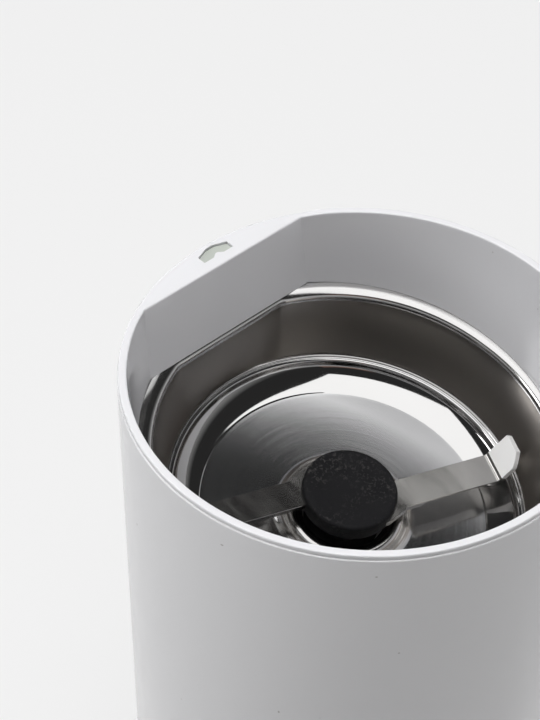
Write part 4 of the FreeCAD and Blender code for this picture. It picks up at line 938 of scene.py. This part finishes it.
def makeFloor():
    size = studio["floorHalf"]
    flat = np.array([(-size, -size, 0), (size, -size, 0), (size, size, 0), (-size, size, 0)], float)
    floor = makeMesh("floor", flat, [[0, 1, 2, 3]])
    material, tree, shader = newMaterial("floorPaper")
    tree.nodes.remove(shader)
    seen = tree.nodes.new("ShaderNodeLightPath").outputs
    plain = greatest(tree, seen["Is Camera Ray"], seen["Is Glossy Ray"], seen["Is Transmission Ray"])
    glow = tree.nodes.new("ShaderNodeEmission")
    glow.inputs["Color"].default_value = (*studio["backdrop"], 1)
    glow.inputs["Strength"].default_value = 1 - studio["floorShare"]
    shade = tree.nodes.new("ShaderNodeBsdfDiffuse")
    shade.inputs["Color"].default_value = (studio["floorShare"],) * 3 + (1,)
    both = tree.nodes.new("ShaderNodeAddShader")
    tree.links.new(glow.outputs["Emission"], both.inputs[0])
    tree.links.new(shade.outputs["BSDF"], both.inputs[1])
    bounce = tree.nodes.new("ShaderNodeBsdfDiffuse")
    bounce.inputs["Color"].default_value = (studio["bounce"],) * 3 + (1,)
    mix = tree.nodes.new("ShaderNodeMixShader")
    tree.links.new(plain, mix.inputs["Fac"])
    tree.links.new(bounce.outputs["BSDF"], mix.inputs[1])
    tree.links.new(both.outputs["Shader"], mix.inputs[2])
    tree.links.new(mix.outputs["Shader"], tree.nodes["Material Output"].inputs["Surface"])
    floor.data.materials.append(material)


# the world's grey from low to high, for its light and for what is mirrored
sky = {"low": 0.23, "high": 0.02, "from": 0.1, "to": 0.5, "seenHigh": 0.03, "seenTo": 0.62}


def makeWorld():
    world = bpy.data.worlds.new("studio")
    bpy.context.scene.world = world
    world.use_nodes = True
    tree = world.node_tree
    shader = tree.nodes["Background"]
    direction = tree.nodes.new("ShaderNodeTexCoord")
    split = tree.nodes.new("ShaderNodeSeparateXYZ")
    tree.links.new(direction.outputs["Generated"], split.inputs["Vector"])
    grey = spread(tree, split.outputs["Z"], sky["low"], sky["high"], sky["from"], sky["to"])
    # what metal and glass mirror is the pale backdrop low down and a dark ceiling
    mirrored = spread(tree, split.outputs["Z"], studio["backdrop"][0], sky["seenHigh"],
                      sky["from"], sky["seenTo"])
    seen = tree.nodes.new("ShaderNodeLightPath").outputs
    reflected = greatest(tree, seen["Is Glossy Ray"], seen["Is Transmission Ray"])
    grey = choose(tree, reflected, grey, mirrored)
    grey = choose(tree, seen["Is Camera Ray"], grey, studio["backdrop"])
    tree.links.new(grey, shader.inputs["Color"])


# places are (right, away, up) as seen from the camera, in metres
# a flat lamp looks straight down, and one that isn't mirrored gives light but no highlight
lamps = {
    "fill": {"at": (0.0, -0.12, 1.25), "size": (0.6, 1.0), "watts": 8.1, "mirrored": False},
    "topPanel": {"at": (-0.03, -0.04, 1.13), "size": (0.98, 0.96), "watts": 4.4, "flat": True},
    "leftPanel": {"at": (-1.06, -0.05, 0.74), "size": (0.6, 0.8), "watts": 6.3},
    "rearFill": {"at": (0.95, 0.45, 0.60), "size": (0.8, 0.8), "watts": 2.4, "mirrored": False},
    "warmPanel": {"at": (0.35, -0.95, 0.85), "size": (0.5, 0.35), "watts": 0.09,
                  "colour": (1.0, 0.55, 0.42)},
}


def makeLamps():
    for name, lamp in lamps.items():
        data = bpy.data.lights.new(name, "AREA")
        data.shape = "RECTANGLE"
        data.size, data.size_y = lamp["size"]
        data.energy = lamp["watts"]
        data.color = lamp.get("colour", (1, 1, 1))
        obj = bpy.data.objects.new(name, data)
        bpy.context.scene.collection.objects.link(obj)
        obj.location = toPart(*lamp["at"])
        aim = Vector(studio["aim"]) - obj.location
        obj.rotation_mode = "QUATERNION"
        obj.rotation_quaternion = aim.to_track_quat("-Z", "Y")
        if lamp.get("flat"):
            obj.rotation_quaternion = Quaternion((0, 0, 1), math.radians(view["turn"]))
        obj.visible_glossy = lamp.get("mirrored", True)


makeFloor()
makeWorld()
makeLamps()
bpy.context.scene.view_settings.view_transform = "Standard"
print("studio made")
